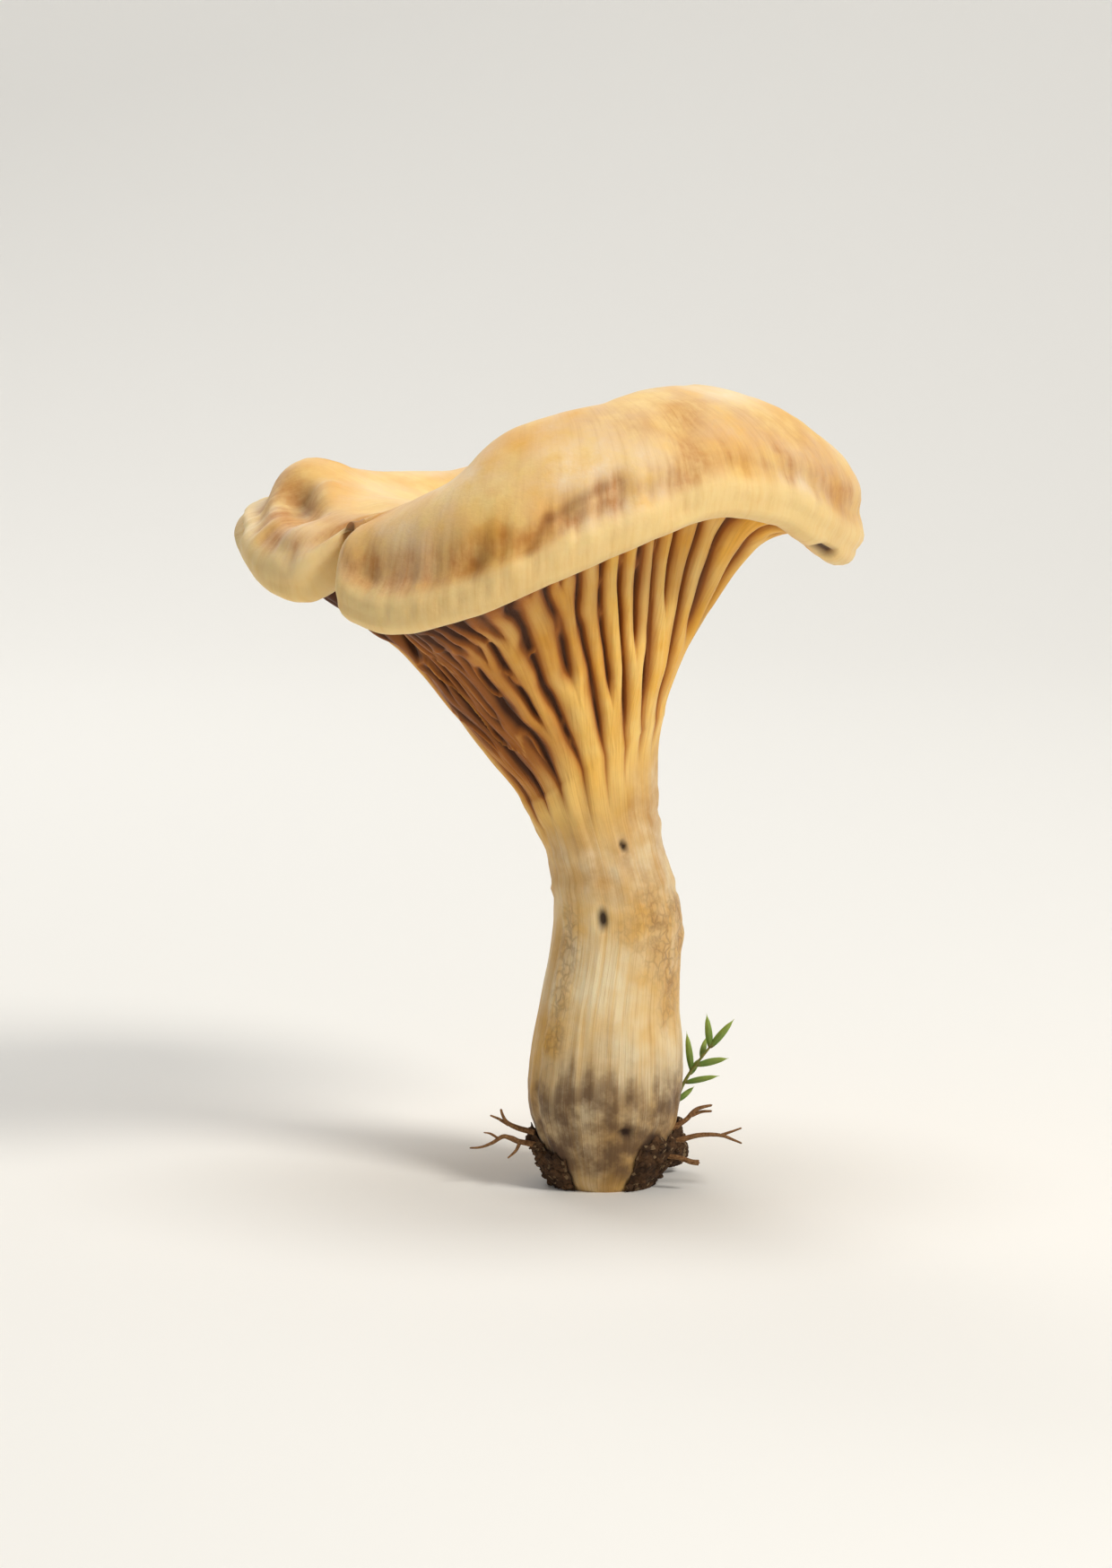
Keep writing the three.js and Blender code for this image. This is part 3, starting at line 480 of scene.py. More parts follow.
def foldHeight(column, share):
    # 1 on a fold's crest and 0 in a furrow. A fold's crest parts into two that move 2 eighths away, and each
    # of those into two again; between crests the height falls as 1 minus the distance's share to a power.
    power = body["crestPower"]
    count = len(foldAngles)
    turn = 360 * column / (8 * count)
    dark = crowdedShadedSide(columnAngle(np.mod(column, 8 * count)))
    column = column + body["foldWander"] * noiseRound(turn, 7, share * 6, 21)
    column = column + body["foldJitter"] * noiseRound(turn, 15, share * 14, 22)
    fold = np.round(column / 8)
    key = np.mod(fold, count).astype(int)
    away = column - fold * 8
    offset = 2 * smooth((share - foldForks[key]) / body["forkRun"])
    near = np.abs(away)
    t = np.where(near > offset, (near - offset) / (4 - offset), (offset - near) / 2)
    single = 1 - np.clip(t, 0, 1) ** power
    branch = key * 2 + (away > 0)
    start = body["secondFrom"] - body["darkForksSooner"] * dark + body["secondSpread"] * scatter(branch + 91)
    parted = smooth((share - start) / body["secondRun"])
    distance = np.abs(near - 2)
    t = np.where(distance > parted, (distance - parted) / (2 - parted), parted - distance)
    twice = 1 - np.clip(t, 0, 1) ** power
    forked = smooth(offset - 1)
    height = np.where(offset < 1.999, single, twice)
    height = height * mix(0.86 + 0.14 * scatter(key + 7), 0.7 + 0.3 * scatter(branch + 131), forked)
    # low veins cross the furrows like a net where a noise passes through 0, most of them on the crowded left
    # side
    net = noiseRound(turn, 8.5, share * 7 + 0.05 * column, 23)
    some = smooth(0.35 + 1.5 * noiseRound(turn, 3, share * 4, 24))
    begun = smooth(share / 0.15)
    vein = bell(net / body["veinWidth"]) * mix(0.5 * some, 0.95, dark) * begun
    height = height * (1 - body["darkLower"] * dark * begun)
    return height + np.clip(vein - height, 0, 1) * body["veinHeight"]


def pitShare(angle, height, pitAngle, pitHeight, halfWidth, halfHeight):
    # a bell over an oval on the stem's skin
    side = np.radians(angleFrom(angle, pitAngle)) * body["pitRadius"]
    return bell(side / halfWidth) * bell((height - pitHeight) / halfHeight)


def roughFlank(angle, height):
    # a bell with a wandering edge over the worn place on the stem's right
    wander = noiseRound(angle, 2.2, height / 6, 39)
    across = bell((angleFrom(angle, body["flankAngle"]) + body["flankWander"] * wander) / body["flankWidth"])
    low = smooth((height - body["flankFrom"]) / 7 + 0.8 * wander)
    return across * low * smooth((body["flankTo"] - height) / 7 - 0.8 * wander)


def scalyShare(angle, height):
    # the rough flank, and a thinner worn strip on the stem's left front
    strip = bell(angleFrom(angle, body["stripAngle"]) / body["stripWidth"])
    strip = strip * smooth((body["stripTo"] - height) / 5) * smooth((height - body["stripFrom"]) / 4)
    return np.maximum(roughFlank(angle, height), body["stripShare"] * strip)


def stemRelief(angle, height):
    # fibres along the stem, wrinkles across it below the neck, lumps, a rough right flank and pits
    skin = stemSkin(angle, height)
    r = body["stemRadius"]
    relief = body["fibre"] * noiseRound(angle, r / 1.5, height / 17, 31)
    relief = relief + body["fineFibre"] * noiseRound(angle, r / 0.62, height / 9, 32)
    relief = relief + body["stemLumps"] * cloud(skin, 8.0, 33, 2)
    high = smooth((height - 29) / 5) * smooth((47 - height) / 6)
    waver = 0.8 * noiseRound(angle, r / 3, height / 3, 34)
    relief = relief + body["stemWrinkles"] * high * noiseRound(angle, r / 5, height / 1.1 + waver, 35)
    relief = relief + body["flakes"] * scalyShare(angle, height) * cloud(skin, 1.3, 36, 2)
    low = smooth((17 - height) / 10)
    relief = relief + low * body["footLumps"] * cloud(skin, 2.6, 37, 3)
    relief = relief + low * body["footWrinkles"] * noiseRound(angle, r / 4, height / 1.1, 38)
    for (*place, depth) in stemPits:
        relief = relief - depth * pitShare(angle, height, *place)
    return relief * smooth((height + 0.1) / 1.5)


def fromMargin(angle, points):
    # the distance from the edge of the upper face
    return np.linalg.norm(points - lipSkin(angle, 1.0), axis=-1)


def rimWrinkles(angle, edge):
    # short radial wrinkles about 1 mm apart behind the bead, and finer ones on it
    behind = noiseRound(angle, 25, edge / 9, 52) * bell((edge - 4.6) / 2.6)
    return behind + 0.4 * noiseRound(angle, 34, edge / 6, 56) * bell((edge - 0.8) / 1.2)


def capRelief(angle, points):
    # lumps, fine radial wrinkles near the margin, and the bead along it with a soft groove behind
    edge = fromMargin(angle, points)
    bead = body["bead"] * bell((edge - body["beadAt"]) / body["beadWidth"])
    bead = bead - body["groove"] * bell((edge - body["grooveAt"]) / body["grooveWidth"])
    bead = bead * (0.75 + 0.5 * noiseRound(angle, 5, 0, 51)) * smooth(edge / 0.8)
    bead = bead * (1 - 0.9 * bell(angleFrom(angle, body["cleftAngle"]) / 3.5))
    wrinkles = body["rimWrinkles"] * rimWrinkles(angle, edge)
    fibrils = body["fibrils"] * noiseRound(angle, 46, edge / 5, 53) * smooth((16 - edge) / 12)
    lumps = body["capLumps"] * cloud(points, 7.5, 54, 2) + body["capFineLumps"] * cloud(points, 2.4, 55, 2)
    return bead + wrinkles + fibrils + lumps * smooth(edge / 3)


def stemFacts(angle, height):
    # earth: stained towards the foot, in streaks, and dusty round the soil; ochre: painted shade darkening
    # towards the neck and down the left edge, and worn where it is rough; dark: painted shade inside the
    # pits; scaly: where the skin is worn into scales
    r = body["stemRadius"]
    streaks = 2.6 * noiseRound(angle, r, height / 12, 61) + 3.0 * noiseRound(angle, r / 4, height / 6, 62)
    earth = 0.85 * smooth((19 + streaks - height) / 10) * (1 - 0.5 * smooth((3.5 - height) / 3))
    for patch in (soilLeft, soilRight):
        middle, half = (patch["start"] + patch["end"]) / 2, (patch["end"] - patch["start"]) / 2
        beside = smooth((half + 14 - np.abs(angleFrom(angle, middle))) / 18)
        earth = np.maximum(earth, beside * smooth((patch["height"] + 2.5 + 0.4 * streaks - height) / 4))
    patches = 0.5 + 0.5 * noiseRound(angle, r / 2.5, height / 2.5, 63)
    # painted shade: darker ochre towards the neck, under the cap
    ochre = smooth((height - 31) / 6) * (0.35 + 0.65 * patches)
    ochre = ochre + roughFlank(angle, height) * (0.5 + 0.5 * patches)
    # painted shade down the stem's left edge, added to the ochre
    left = bell(angleFrom(angle, 205) / 22) * smooth((34 - height) / 6) * smooth((height - 15) / 4)
    pits = sum(pitShare(angle, height, *pit[:4]) for pit in stemPits)
    return dict(earth=earth, ochre=np.clip(ochre + 0.6 * left * patches, 0, 1), dark=pits,
                scaly=scalyShare(angle, height))


def addRings(growth, points, angle, along, **facts):
    # stores a block of rings and what its skin is like, each ring joined to the one before it
    rows, count = points.shape[:2]
    before, start = growth["count"], growth["total"]
    last = start - before
    if before == count:
        growth["quads"].append(ringQuads(last, start, count))
    elif before > count:
        growth["triangles"].append(ringFan(last, start, count, before // count))
    elif before:
        growth["triangles"].append(ringFan(start, last, before, count // before)[:, ::-1])
    for row in range(rows - 1):
        growth["quads"].append(ringQuads(start + row * count, start + (row + 1) * count, count))
    a = np.radians(np.broadcast_to(angle, (rows, count)))
    along = np.broadcast_to(along, (rows, count))
    # what fibres are read on: close steps round the growth and long ones along it
    r = body["grainRound"]
    grain = np.stack([r * np.cos(a), r * np.sin(a), body["grainAlong"] * along], -1)
    growth["points"].append(points.reshape(-1, 3))
    growth["grain"].append(grain.reshape(-1, 3))
    for key in fleshFacts:
        growth[key].append(np.broadcast_to(facts.get(key, 0.0), (rows, count)).ravel())
    growth["count"], growth["total"] = count, start + rows * count


def addCutFace(growth, angle):
    # the cut end, flat on the ground
    addRings(growth, np.zeros((1, 1, 3)), 0, 0, earth=0.2)
    share = np.array([0.35, 0.62, 0.84, 0.96])[:, None]
    addRings(growth, stemSkin(angle, 0.0) * share[..., None], angle, share * 2, earth=0.25)


def addStem(growth, angle):
    # the stem, up to a collar below the neck
    height = np.linspace(0, 1, body["stemRows"])[:, None] * (neckHeight(angle) - body["collar"])
    normal = outward(neckedStem, angle, height, 2.0, 0.3, 60.0)
    normal[0] = 0
    points = neckedStem(angle, height) + normal * stemRelief(angle, height)[..., None]
    points[..., 2] = np.maximum(points[..., 2], 0)
    addRings(growth, points, angle, height, **stemFacts(angle, height))


def addCollar(growth, column):
    # the collar, where the folds run out down the stem, each to a length of its own
    angle = columnAngle(column) + body["sweep"]
    down = np.linspace(-body["collar"], 0, body["collarRows"] + 2)[1:-1, None]
    height = neckHeight(angle) + down
    crest = foldHeight(column, 0 * down)
    length = 3.5 + 7 * scatter(np.mod(np.round(column / 8), len(foldAngles)) + 17)
    run = smooth(1 + down / length)
    relief = stemRelief(angle, height) + body["collarRelief"] * run * crest
    normal = outward(neckedStem, angle, height, 2.0, 0.3, 60.0)
    points = neckedStem(angle, height) + normal * relief[..., None]
    # painted shade in the grooves where the folds run out, more on the crowded left side
    addRings(growth, points, angle, height, under=smooth(1 + down / (length + 3)),
             furrow=run * ((1 - crest) * 0.6 + 0.25 * crowdedShadedSide(angle)), **stemFacts(angle, height))


def addFunnel(growth, column):
    # the funnel with its folds, which stand lower near the neck and run out at the margin
    share = np.linspace(0, 1, body["funnelRows"])[:, None]
    angle = columnAngle(column) + body["sweep"] * np.clip(1 - share / body["sweepUntil"], 0, 1) ** 2
    base = funnelSkin(angle, share)
    crest = foldHeight(column, share)
    fade = smooth((1 - share) / 0.12)
    relief = body["relief"] * (0.33 + 0.67 * smooth(share / 0.16)) * (crest - body["crestLevel"])
    relief = relief + body["foldGrain"] * noise(column * 1.7, share * 9, 0.5, 71)
    relief = relief + body["fineFoldGrain"] * noise(column * 4.1, share * 14, 1.5, 72)
    relief = relief + body["foldLumps"] * cloud(base, 6.0, 73, 2) * smooth(share / 0.1)
    relief = relief * fade + body["collarRelief"] * body["crestLevel"] * smooth(1 - share / 0.1)
    relief = relief - bumpField(funnelSkin, funnelDents, base) - bumpField(lipSkin, rimHollows, base)
    # painted shade: dark in the furrows, deeper on the crowded left side, and a painted shadow in a band
    # under the rim, fading out at the very edge
    furrow = (1 - crest) * (0.6 + 0.4 * smooth(share / 0.12)) + 0.42 * crowdedShadedSide(angle)
    furrow = (furrow + 0.38 * smooth((share - 0.65) / 0.3)) * smooth((1.02 - share) / 0.08)
    addRings(growth, base + outward(funnelSkin, angle, share) * relief[..., None], angle,
             neckHeight(angle) + share * 38, under=1.0, rim=smooth((share - 0.9) / 0.1), furrow=furrow)


def addMargin(growth, angle):
    # the rounded edge between the underside and the upper face
    rows = body["marginRows"]
    share = (np.arange(1, rows + 1) / (rows + 1))[:, None]
    base = lipSkin(angle, share)
    hollow = bumpField(lipSkin, rimHollows, base)
    relief = 0.1 * cloud(base, 2.5, 55, 2) - hollow
    addRings(growth, base + outward(lipSkin, angle, share) * relief[..., None], angle, 88 + share * 5,
             under=smooth(1 - share / 0.45), upper=smooth((share - 0.15) / 0.6),
             # rim: a painted highlight on the rounded lip, less in the cleft; dark: painted shade in the
             # cleft and in the hollow under the right end
             rim=1 - 0.7 * inCleft(angle, 3.2), dark=0.42 * inCleft(angle, 2.4) + 0.8 * hollow)


def addUpperFace(growth, angles):
    # the upper face in bands, with fewer columns towards the middle, and a point there
    for (low, high, rows, every) in body["upperBands"]:
        share = np.linspace(low, high, rows)[:, None]
        angle = angles[::every]
        base = capSkin(angle, share)
        edge = fromMargin(angle, base)
        hollow = bumpField(lipSkin, rimHollows, base)
        relief = capRelief(angle, base) - bumpField(capSkin, dents, base) - hollow
        points = base + outward(capSkin, angle, np.maximum(share, 0.01)) * relief[..., None]
        # ochre: painted shade over the hollows, in the groove behind the bead and in the wrinkles' troughs,
        # and a darker tone in patches
        ochre = bumpField(capSkin, ochrePatches, base) + 0.45 * bell((edge - 5.0) / 1.7)
        ochre = ochre + 1.4 * np.clip(-rimWrinkles(angle, edge), 0, 1)
        addRings(growth, points, angle, 93 + share * 45, upper=1.0, ochre=np.clip(ochre, 0, 1),
                 bloom=smooth(0.5 + 0.9 * cloud(base, 11.0, 81, 3)) * smooth(share / 0.12),
                 # painted shade in the cap's hollows and crease, and in the rim's hollow
                 dark=bumpField(capSkin, hollowShades, base) + hollow,
                 # rim: a painted highlight on the bead along the margin, less in the cleft
                 rim=smooth((3.4 - edge) / 1.6) * (1 - 0.7 * inCleft(angle, 3.2)))
    addRings(growth, capSkin(np.zeros((1, 1)), 1.0), 0, 138, upper=1.0, bloom=0.5)


def fruitBody(material):
    # rings from the cut face up the stem, out under the cap, round the margin and in over the upper face
    growth = dict(count=0, total=0)
    for key in ("points", "quads", "triangles", "grain", *fleshFacts):
        growth[key] = []
    column = spreadColumns(body["columns"])
    angles = columnAngle(column)
    stemAngles = angles[::3] + body["sweep"]
    addCutFace(growth, stemAngles)
    addStem(growth, stemAngles)
    addCollar(growth, column)
    addFunnel(growth, column)
    addMargin(growth, angles)
    addUpperFace(growth, angles)
    points, quads, triangles, *facts = [np.concatenate(growth[key]) for key in
                                        ("points", "quads", "triangles", *fleshFacts, "grain")]
    makePiece("chanterelleFruitBody", points, quads, triangles, material, "fruit_body",
              dict(zip((*fleshFacts, "grain"), facts)))


# ---- soil and rootlets stuck round the foot

soil = dict(
    gap=0.3, thickness=0.6, edge=0.1, rows=48, columns=300,
    grain=0.75, grainRelief=0.42, fineGrain=0.36, fineRelief=0.2, lumps=2.2, lumpRelief=0.4, sunk=0.24,
    crumbs=170, smallCrumb=0.13, largeCrumb=0.53, bark=0.14,
)
# each rootlet: the points that it runs through, and its radius at the root and at the tip
soilLeft = dict(start=122, end=232, height=6.8, seed=11, rootlets=[
    ([(-7.6, -2, 6.2), (-9.6, -1.6, 6.7), (-10.7, -1.2, 7.2), (-11.2, -1, 8.0), (-11.4, -1, 8.7)],
     0.34, 0.13),
    ([(-10.5, -1.3, 7.0), (-11.6, -0.8, 7.5), (-12.6, -0.6, 7.9)], 0.22, 0.1),
    ([(-7.3, -2.6, 4.9), (-9.4, -2.4, 5.3), (-11, -2.2, 5.8), (-12.4, -2, 5.0), (-13.6, -1.8, 4.5),
      (-14.9, -1.8, 4.4)], 0.36, 0.1),
    ([(-9.2, -2.4, 5.3), (-9.7, -3.2, 4.4), (-10.6, -4, 3.7)], 0.24, 0.1),
    ([(-11.6, -2.1, 5.5), (-12.5, -2.2, 6.1), (-13.3, -2.4, 6.3)], 0.16, 0.08),
])
soilRight = dict(start=298, end=422, height=7.6, seed=57, rootlets=[
    ([(7.8, -2, 6.6), (9.4, -2, 7.7), (10.6, -2.1, 8.9), (12.3, -2.2, 9.4)], 0.36, 0.14),
    ([(10.0, -2, 8.2), (11.1, -1.6, 8.5), (12.3, -1.2, 8.5)], 0.24, 0.12),
    ([(7.6, -2.6, 5.1), (10, -2.8, 5.9), (11.8, -3, 6.2), (13.4, -3.2, 6.1), (14.6, -3.4, 5.7),
      (15.6, -3.6, 5.3)], 0.36, 0.1),
    ([(13.1, -3.2, 6.1), (14.4, -3, 6.5), (15.6, -2.8, 6.9)], 0.2, 0.09),
    ([(6.9, -3.6, 3.9), (8.6, -4.2, 3.8), (9.9, -4.5, 3.4), (10.8, -4.6, 3.3)], 0.26, 0.3),
])
clod = dict(centre=(7.35, 6.3, 2.6), radius=2.05, flatness=0.85, rough=0.2, rows=64, columns=96)


def curveThrough(points, steps):
    # a curve through the points: each stretch a cubic whose end slopes lie between its neighbours' directions
    table = [(k, *p) for k, p in enumerate(points)]
    at = np.linspace(0, len(points) - 1, steps)
    return np.stack([readStations(table, c, at) for c in (1, 2, 3)], 1)


def tube(points, rootRadius, tipRadius, steps, sides, seed, bark):
    # circles carried along a curve, tapering to a rounded tip, with bark noise on the radius
    path = curveThrough(points, steps)
    tangent = np.gradient(path, axis=0)
    tangent /= np.linalg.norm(tangent, axis=1, keepdims=True)
    upright = abs(tangent[:, 2]).mean() > 0.6
    across = np.cross(tangent, [0.0, 1.0, 0.0] if upright else [0.0, 0.0, 1.0])
    across /= np.linalg.norm(across, axis=1, keepdims=True)
    through = np.cross(tangent, across)
    share = np.linspace(0, 1, steps)
    tip = np.clip((share - 0.97) / 0.03, 0, 0.96)
    radius = mix(rootRadius, tipRadius, share) * np.sqrt(1 - tip ** 2)
    turn = np.arange(sides) * 2 * np.pi / sides
    x, z = path[:, :1], path[:, 2:]
    knots = noise(np.cos(turn) * 1.5 + seed, np.sin(turn) * 1.5, x * 1.7, seed)
    swell = 1 + bark * knots + bark * noise(x * 0.9, z * 0.9, 0.5, seed + 1)
    circle = np.cos(turn)[:, None] * across[:, None] + np.sin(turn)[:, None] * through[:, None]
    rings = path[:, None] + (radius[:, None] * swell)[..., None] * circle
    return closedRings(rings, path[0], path[-1] + tangent[-1] * tipRadius * 0.4)


def lump(centre, radii, seed, rows, columns, rough=0.22):
    # a ball of grid points between two poles, each moved in or out by noise
    down = np.linspace(0, np.pi, rows + 2)[1:-1, None]
    turn = np.arange(columns) * 2 * np.pi / columns
    x, y = np.sin(down) * np.cos(turn), np.sin(down) * np.sin(turn)
    way = np.stack(np.broadcast_arrays(x, y, np.cos(down)), -1)
    swell = 1
    for (cells, strength, step) in ((1.4, 1, 0), (3, 0.5, 1)):
        swell = swell + rough * strength * noise(way[..., 0] * cells + seed, way[..., 1] * cells,
                                                 way[..., 2] * cells, seed + step)
    centre, radii, top = np.array(centre), np.array(radii), np.array([0, 0, radii[2]])
    rings = centre + way * radii * swell[..., None]
    points, quads, fans = closedRings(rings, centre + top, centre - top)
    return points, quads[:, ::-1], fans[:, ::-1]


def soilGrains(points, seed):
    # how far soil stands out: grains of two sizes on low lumps
    return (soil["grainRelief"] * crumbs(points, soil["grain"], seed)
            + soil["fineRelief"] * crumbs(points, soil["fineGrain"], seed + 9)
            + soil["lumpRelief"] * cloud(points, soil["lumps"], seed + 5, 2) - soil["sunk"])


def soilCrescent(patch):
    # a crust round the foot: the stem's skin moved out by a gap, and by the gap and a thickness that runs out
    # to nothing at a ragged rim, closed all round
    rows, columns = soil["rows"], soil["columns"]
    seed = patch["seed"]
    share = np.linspace(0, 1, columns)[:, None]
    row = np.linspace(0, 1, rows)[None, :]
    middle = np.sqrt(np.sin(np.pi * mix(0.02, 0.98, share)))
    ragged = noise(share * 13, 0.5, 0.5, seed) + 0.6 * noise(share * 31, 0.5, 0.5, seed + 3)
    stray = 5.0 * noise(row * 3.1, 0.5, 0.5, seed + 2) + 2.5 * noise(row * 8, 0.5, 0.5, seed + 4)
    angle = mix(patch["start"], patch["end"], share) + stray * np.abs(2 * share - 1) ** 3
    height = patch["height"] * (0.4 + 0.5 * middle + 0.2 * ragged) * row
    inner = stemSkin(angle, height, soil["gap"])
    rim = smooth(np.minimum(share, 1 - share) * 9) * smooth((1 - row) * 5) * (0.45 + 0.55 * smooth(row * 3))
    outer = stemSkin(angle, height, soil["gap"] + soil["edge"] + soil["thickness"] * rim * middle)
    a = np.radians(angle)
    way = np.stack(np.broadcast_arrays(np.cos(a), np.sin(a), 0.25), -1)
    outer = outer + way * (soilGrains(outer, seed) * smooth(rim * 2.5))[..., None]
    outer[..., 2] = np.maximum(outer[..., 2], 0)
    # each column is a loop, up the outer face and down the inner one, and the two ends are filled in
    loop, last = 2 * rows, 2 * rows * (columns - 1)
    quads = [ringQuads(k * loop, (k + 1) * loop, loop)[:, [0, 3, 2, 1]] for k in range(columns - 1)]
    r = np.arange(rows - 1)
    end = np.stack([r, r + 1, loop - 2 - r, loop - 1 - r], 1)
    quads += [end, last + end[:, ::-1]]
    return np.concatenate([outer, inner[:, ::-1]], 1).reshape(-1, 3), np.concatenate(quads), outer


def clodOfSoil():
    # the large crumb that the moss stands in: a flattened ball with the crust's grains on it
    r = clod["radius"]
    radii = (r, r, r * clod["flatness"])
    points, quads, fans = lump(clod["centre"], radii, 77, clod["rows"], clod["columns"], clod["rough"])
    way = points - clod["centre"]
    way /= np.linalg.norm(way, axis=1, keepdims=True)
    points = points + way * soilGrains(points, 83)[:, None]
    points[:, 2] = np.maximum(points[:, 2], 0.2)
    return points, quads, fans, 0.0


def soilPatch(name, node, patch, material, extras=()):
    # the crust, its rootlets and the crumbs that stand off it; the last fact is 1 on a rootlet and 0 on soil
    points, quads, outer = soilCrescent(patch)
    parts = [(points, quads, np.zeros((0, 3), int), 0.0)]
    seed = patch["seed"]
    for k, (route, rootRadius, tipRadius) in enumerate(patch["rootlets"]):
        parts.append((*tube(route, rootRadius, tipRadius, 14 * len(route), 12, seed + k, soil["bark"]), 1.0))
    for k in range(soil["crumbs"]):
        one, two, three = scatter(seed + k * 3 + np.arange(1, 4))
        i = int(one * (outer.shape[0] - 12)) + 6
        j = int(two ** 0.8 * (outer.shape[1] - 1))
        size = mix(soil["smallCrumb"], soil["largeCrumb"], three ** 3)
        place = outer[i, j].copy()
        place[2] = max(place[2], size * 0.9)
        parts.append((*lump(place, (size, size * 0.9, size * 0.8), seed + k, 6, 9), 0.0))
    points, quads, triangles, root = joinParts([*parts, *extras])
    makePiece(name, points, quads, triangles, material, node, dict(root=root))


# ---- the sprig of moss

moss = dict(
    stalk=[(8.1, 6.9, 3.2), (8.3, 7, 6), (8.8, 6.9, 8.8), (9.8, 6.5, 11.0), (11, 6, 12.8), (12.3, 5.5, 14.6)],
    stalkRoot=0.26, stalkTip=0.14, stalkBark=0.08,
    leaves=[    # each from its base to its tip, and half its width
        ((10.2, 6.4, 11.6), (9.6, 6.2, 16.3), 0.4), ((12.3, 5.5, 14.4), (11.85, 5.4, 18.5), 0.42),
        ((12.3, 5.5, 14.5), (15.05, 5.2, 17.9), 0.42), ((10.8, 6.1, 12.3), (14.5, 5.8, 13.2), 0.42),
        ((9.5, 6.6, 10.2), (13.5, 6.2, 11.1), 0.36), ((8.6, 6.9, 8.0), (10.6, 7.6, 9.6), 0.34),
        ((8.9, 6.9, 9.2), (8.6, 8.4, 11.8), 0.36), ((11.3, 5.9, 13.2), (11.9, 7.4, 15.4), 0.36),
        ((10.0, 6.4, 11.2), (11.2, 8.0, 12.8), 0.36),
    ],
    thickness=0.24, fold=0.28, bend=0.25, rows=22, columns=16,
)


def mossLeaf(start, end, width, seed):
    # a closed lens carried from base to tip, folded a little along its midrib: half its width is
    # 0.32 + 0.68 sin(pi s^0.85), rounded off at the tip
    rows, columns = moss["rows"], moss["columns"]
    start, end = np.array(start), np.array(end)
    along = end - start
    across = np.cross([0, 1.0, 0], along)
    across /= np.linalg.norm(across)
    through = np.cross(along, across)
    through /= np.linalg.norm(through)
    share = np.linspace(0.0, 0.985, rows)
    half = width * (0.32 + 0.68 * np.sin(np.pi * np.minimum(share ** 0.85 + 0.06, 1)))
    half = half * smooth((1.03 - share) / 0.3)
    turn = np.arange(columns) * 2 * np.pi / columns
    bend = moss["bend"] * np.sin(np.pi * share) * (2 * scatter(seed) - 1)
    path = start + along * share[:, None] + through * bend[:, None]
    side = np.cos(turn) * half[:, None]
    thick = moss["thickness"] / 2 * np.sqrt(np.clip(half / width, 0.05, 1))[:, None]
    rise = thick * np.sin(turn) + moss["fold"] * np.abs(side) - 0.05
    rings = path[:, None] + side[..., None] * across + rise[..., None] * through
    leafShare = np.concatenate([np.repeat(share, columns), [0.0, 1.0]])
    midrib = np.concatenate([1 - np.abs(np.tile(np.cos(turn), rows)), [1.0, 1.0]])
    return (*closedRings(rings, path[0], end), leafShare, midrib)


def mossSprig(material):
    # a stalk with its leaves; facts: the share of the way along a leaf, and 1 on its midrib
    stalk = tube(moss["stalk"], moss["stalkRoot"], moss["stalkTip"], 70, 10, 91, moss["stalkBark"])
    parts = [(*stalk, 0.0, 1.0)]
    for k, (start, end, width) in enumerate(moss["leaves"]):
        parts.append(mossLeaf(start, end, width, 201 + k))
    points, quads, triangles, share, midrib = joinParts(parts)
    facts = dict(leafShare=share, midrib=midrib)
    makePiece("mossSprig", points, quads, triangles, material, "moss_sprig", facts)


# ---- materials

def linear(hexColour):
    # an sRGB hex colour as linear light
    parts = [int(hexColour[k:k + 2], 16) / 255 for k in (1, 3, 5)]
    return (*[p / 12.92 if p <= 0.04045 else ((p + 0.055) / 1.055) ** 2.4 for p in parts], 1.0)


def addNode(tree, kind, inputs=None, **settings):
    # adds a node with its settings, and sets or links its inputs by name or number
    node = tree.nodes.new(kind)
    for name, value in settings.items():
        setattr(node, name, value)
    for name, value in (inputs or {}).items():
        if isinstance(value, bpy.types.NodeSocket):
            tree.links.new(value, node.inputs[name])
        else:
            node.inputs[name].default_value = value
    return node


def startMaterial(name, facts=(), noises=None):
    # an empty material, and what its patterns read: the place, the mesh's facts, and noises of a given size
    material = bpy.data.materials.new(name)
    material.use_nodes = True
    tree = material.node_tree
    tree.nodes.clear()
    read = dict(place=addNode(tree, "ShaderNodeTexCoord").outputs["Object"])
    for fact in facts:
        node = addNode(tree, "ShaderNodeAttribute", attribute_name=fact)
        read[fact] = node.outputs["Vector" if fact == "grain" else "Fac"]
    for key, (space, size, detail, roughness) in (noises or {}).items():
        inputs = {"Vector": read[space], "Scale": 1 / size, "Detail": detail, "Roughness": roughness}
        read[key] = addNode(tree, "ShaderNodeTexNoise", inputs).outputs["Fac"]
    return material, tree, read


def maskShare(tree, read, *masks):
    # the product of masks: each is a reading, as it is or stretched from a low and a high value to 0 and 1,
    # or to two other values
    share = None
    for (reading, *span) in masks:
        mask = read[reading]
        if span:
            inputs = dict(zip(("From Min", "From Max", "To Min", "To Max"), span), Value=mask)
            mask = addNode(tree, "ShaderNodeMapRange", inputs).outputs["Result"]
        if share is not None:
            mask = addNode(tree, "ShaderNodeMath", {0: share, 1: mask}, operation="MULTIPLY").outputs[0]
        share = mask
    return share


def paintSkins(tree, read, recipe):
    # each skin is a first colour with layers over it: a colour or an earlier skin, let through by its masks
    paints = {name: linear(value) for name, value in recipe["colours"].items()}
    for skin, (first, *layers) in recipe["skins"].items():
        colour = paints[first]
        for (paint, *masks) in layers:
            inputs = {0: maskShare(tree, read, *masks), 6: colour, 7: paints[paint]}
            colour = addNode(tree, "ShaderNodeMix", inputs, data_type="RGBA").outputs[2]
        paints[skin] = colour
    return paints["whole"]


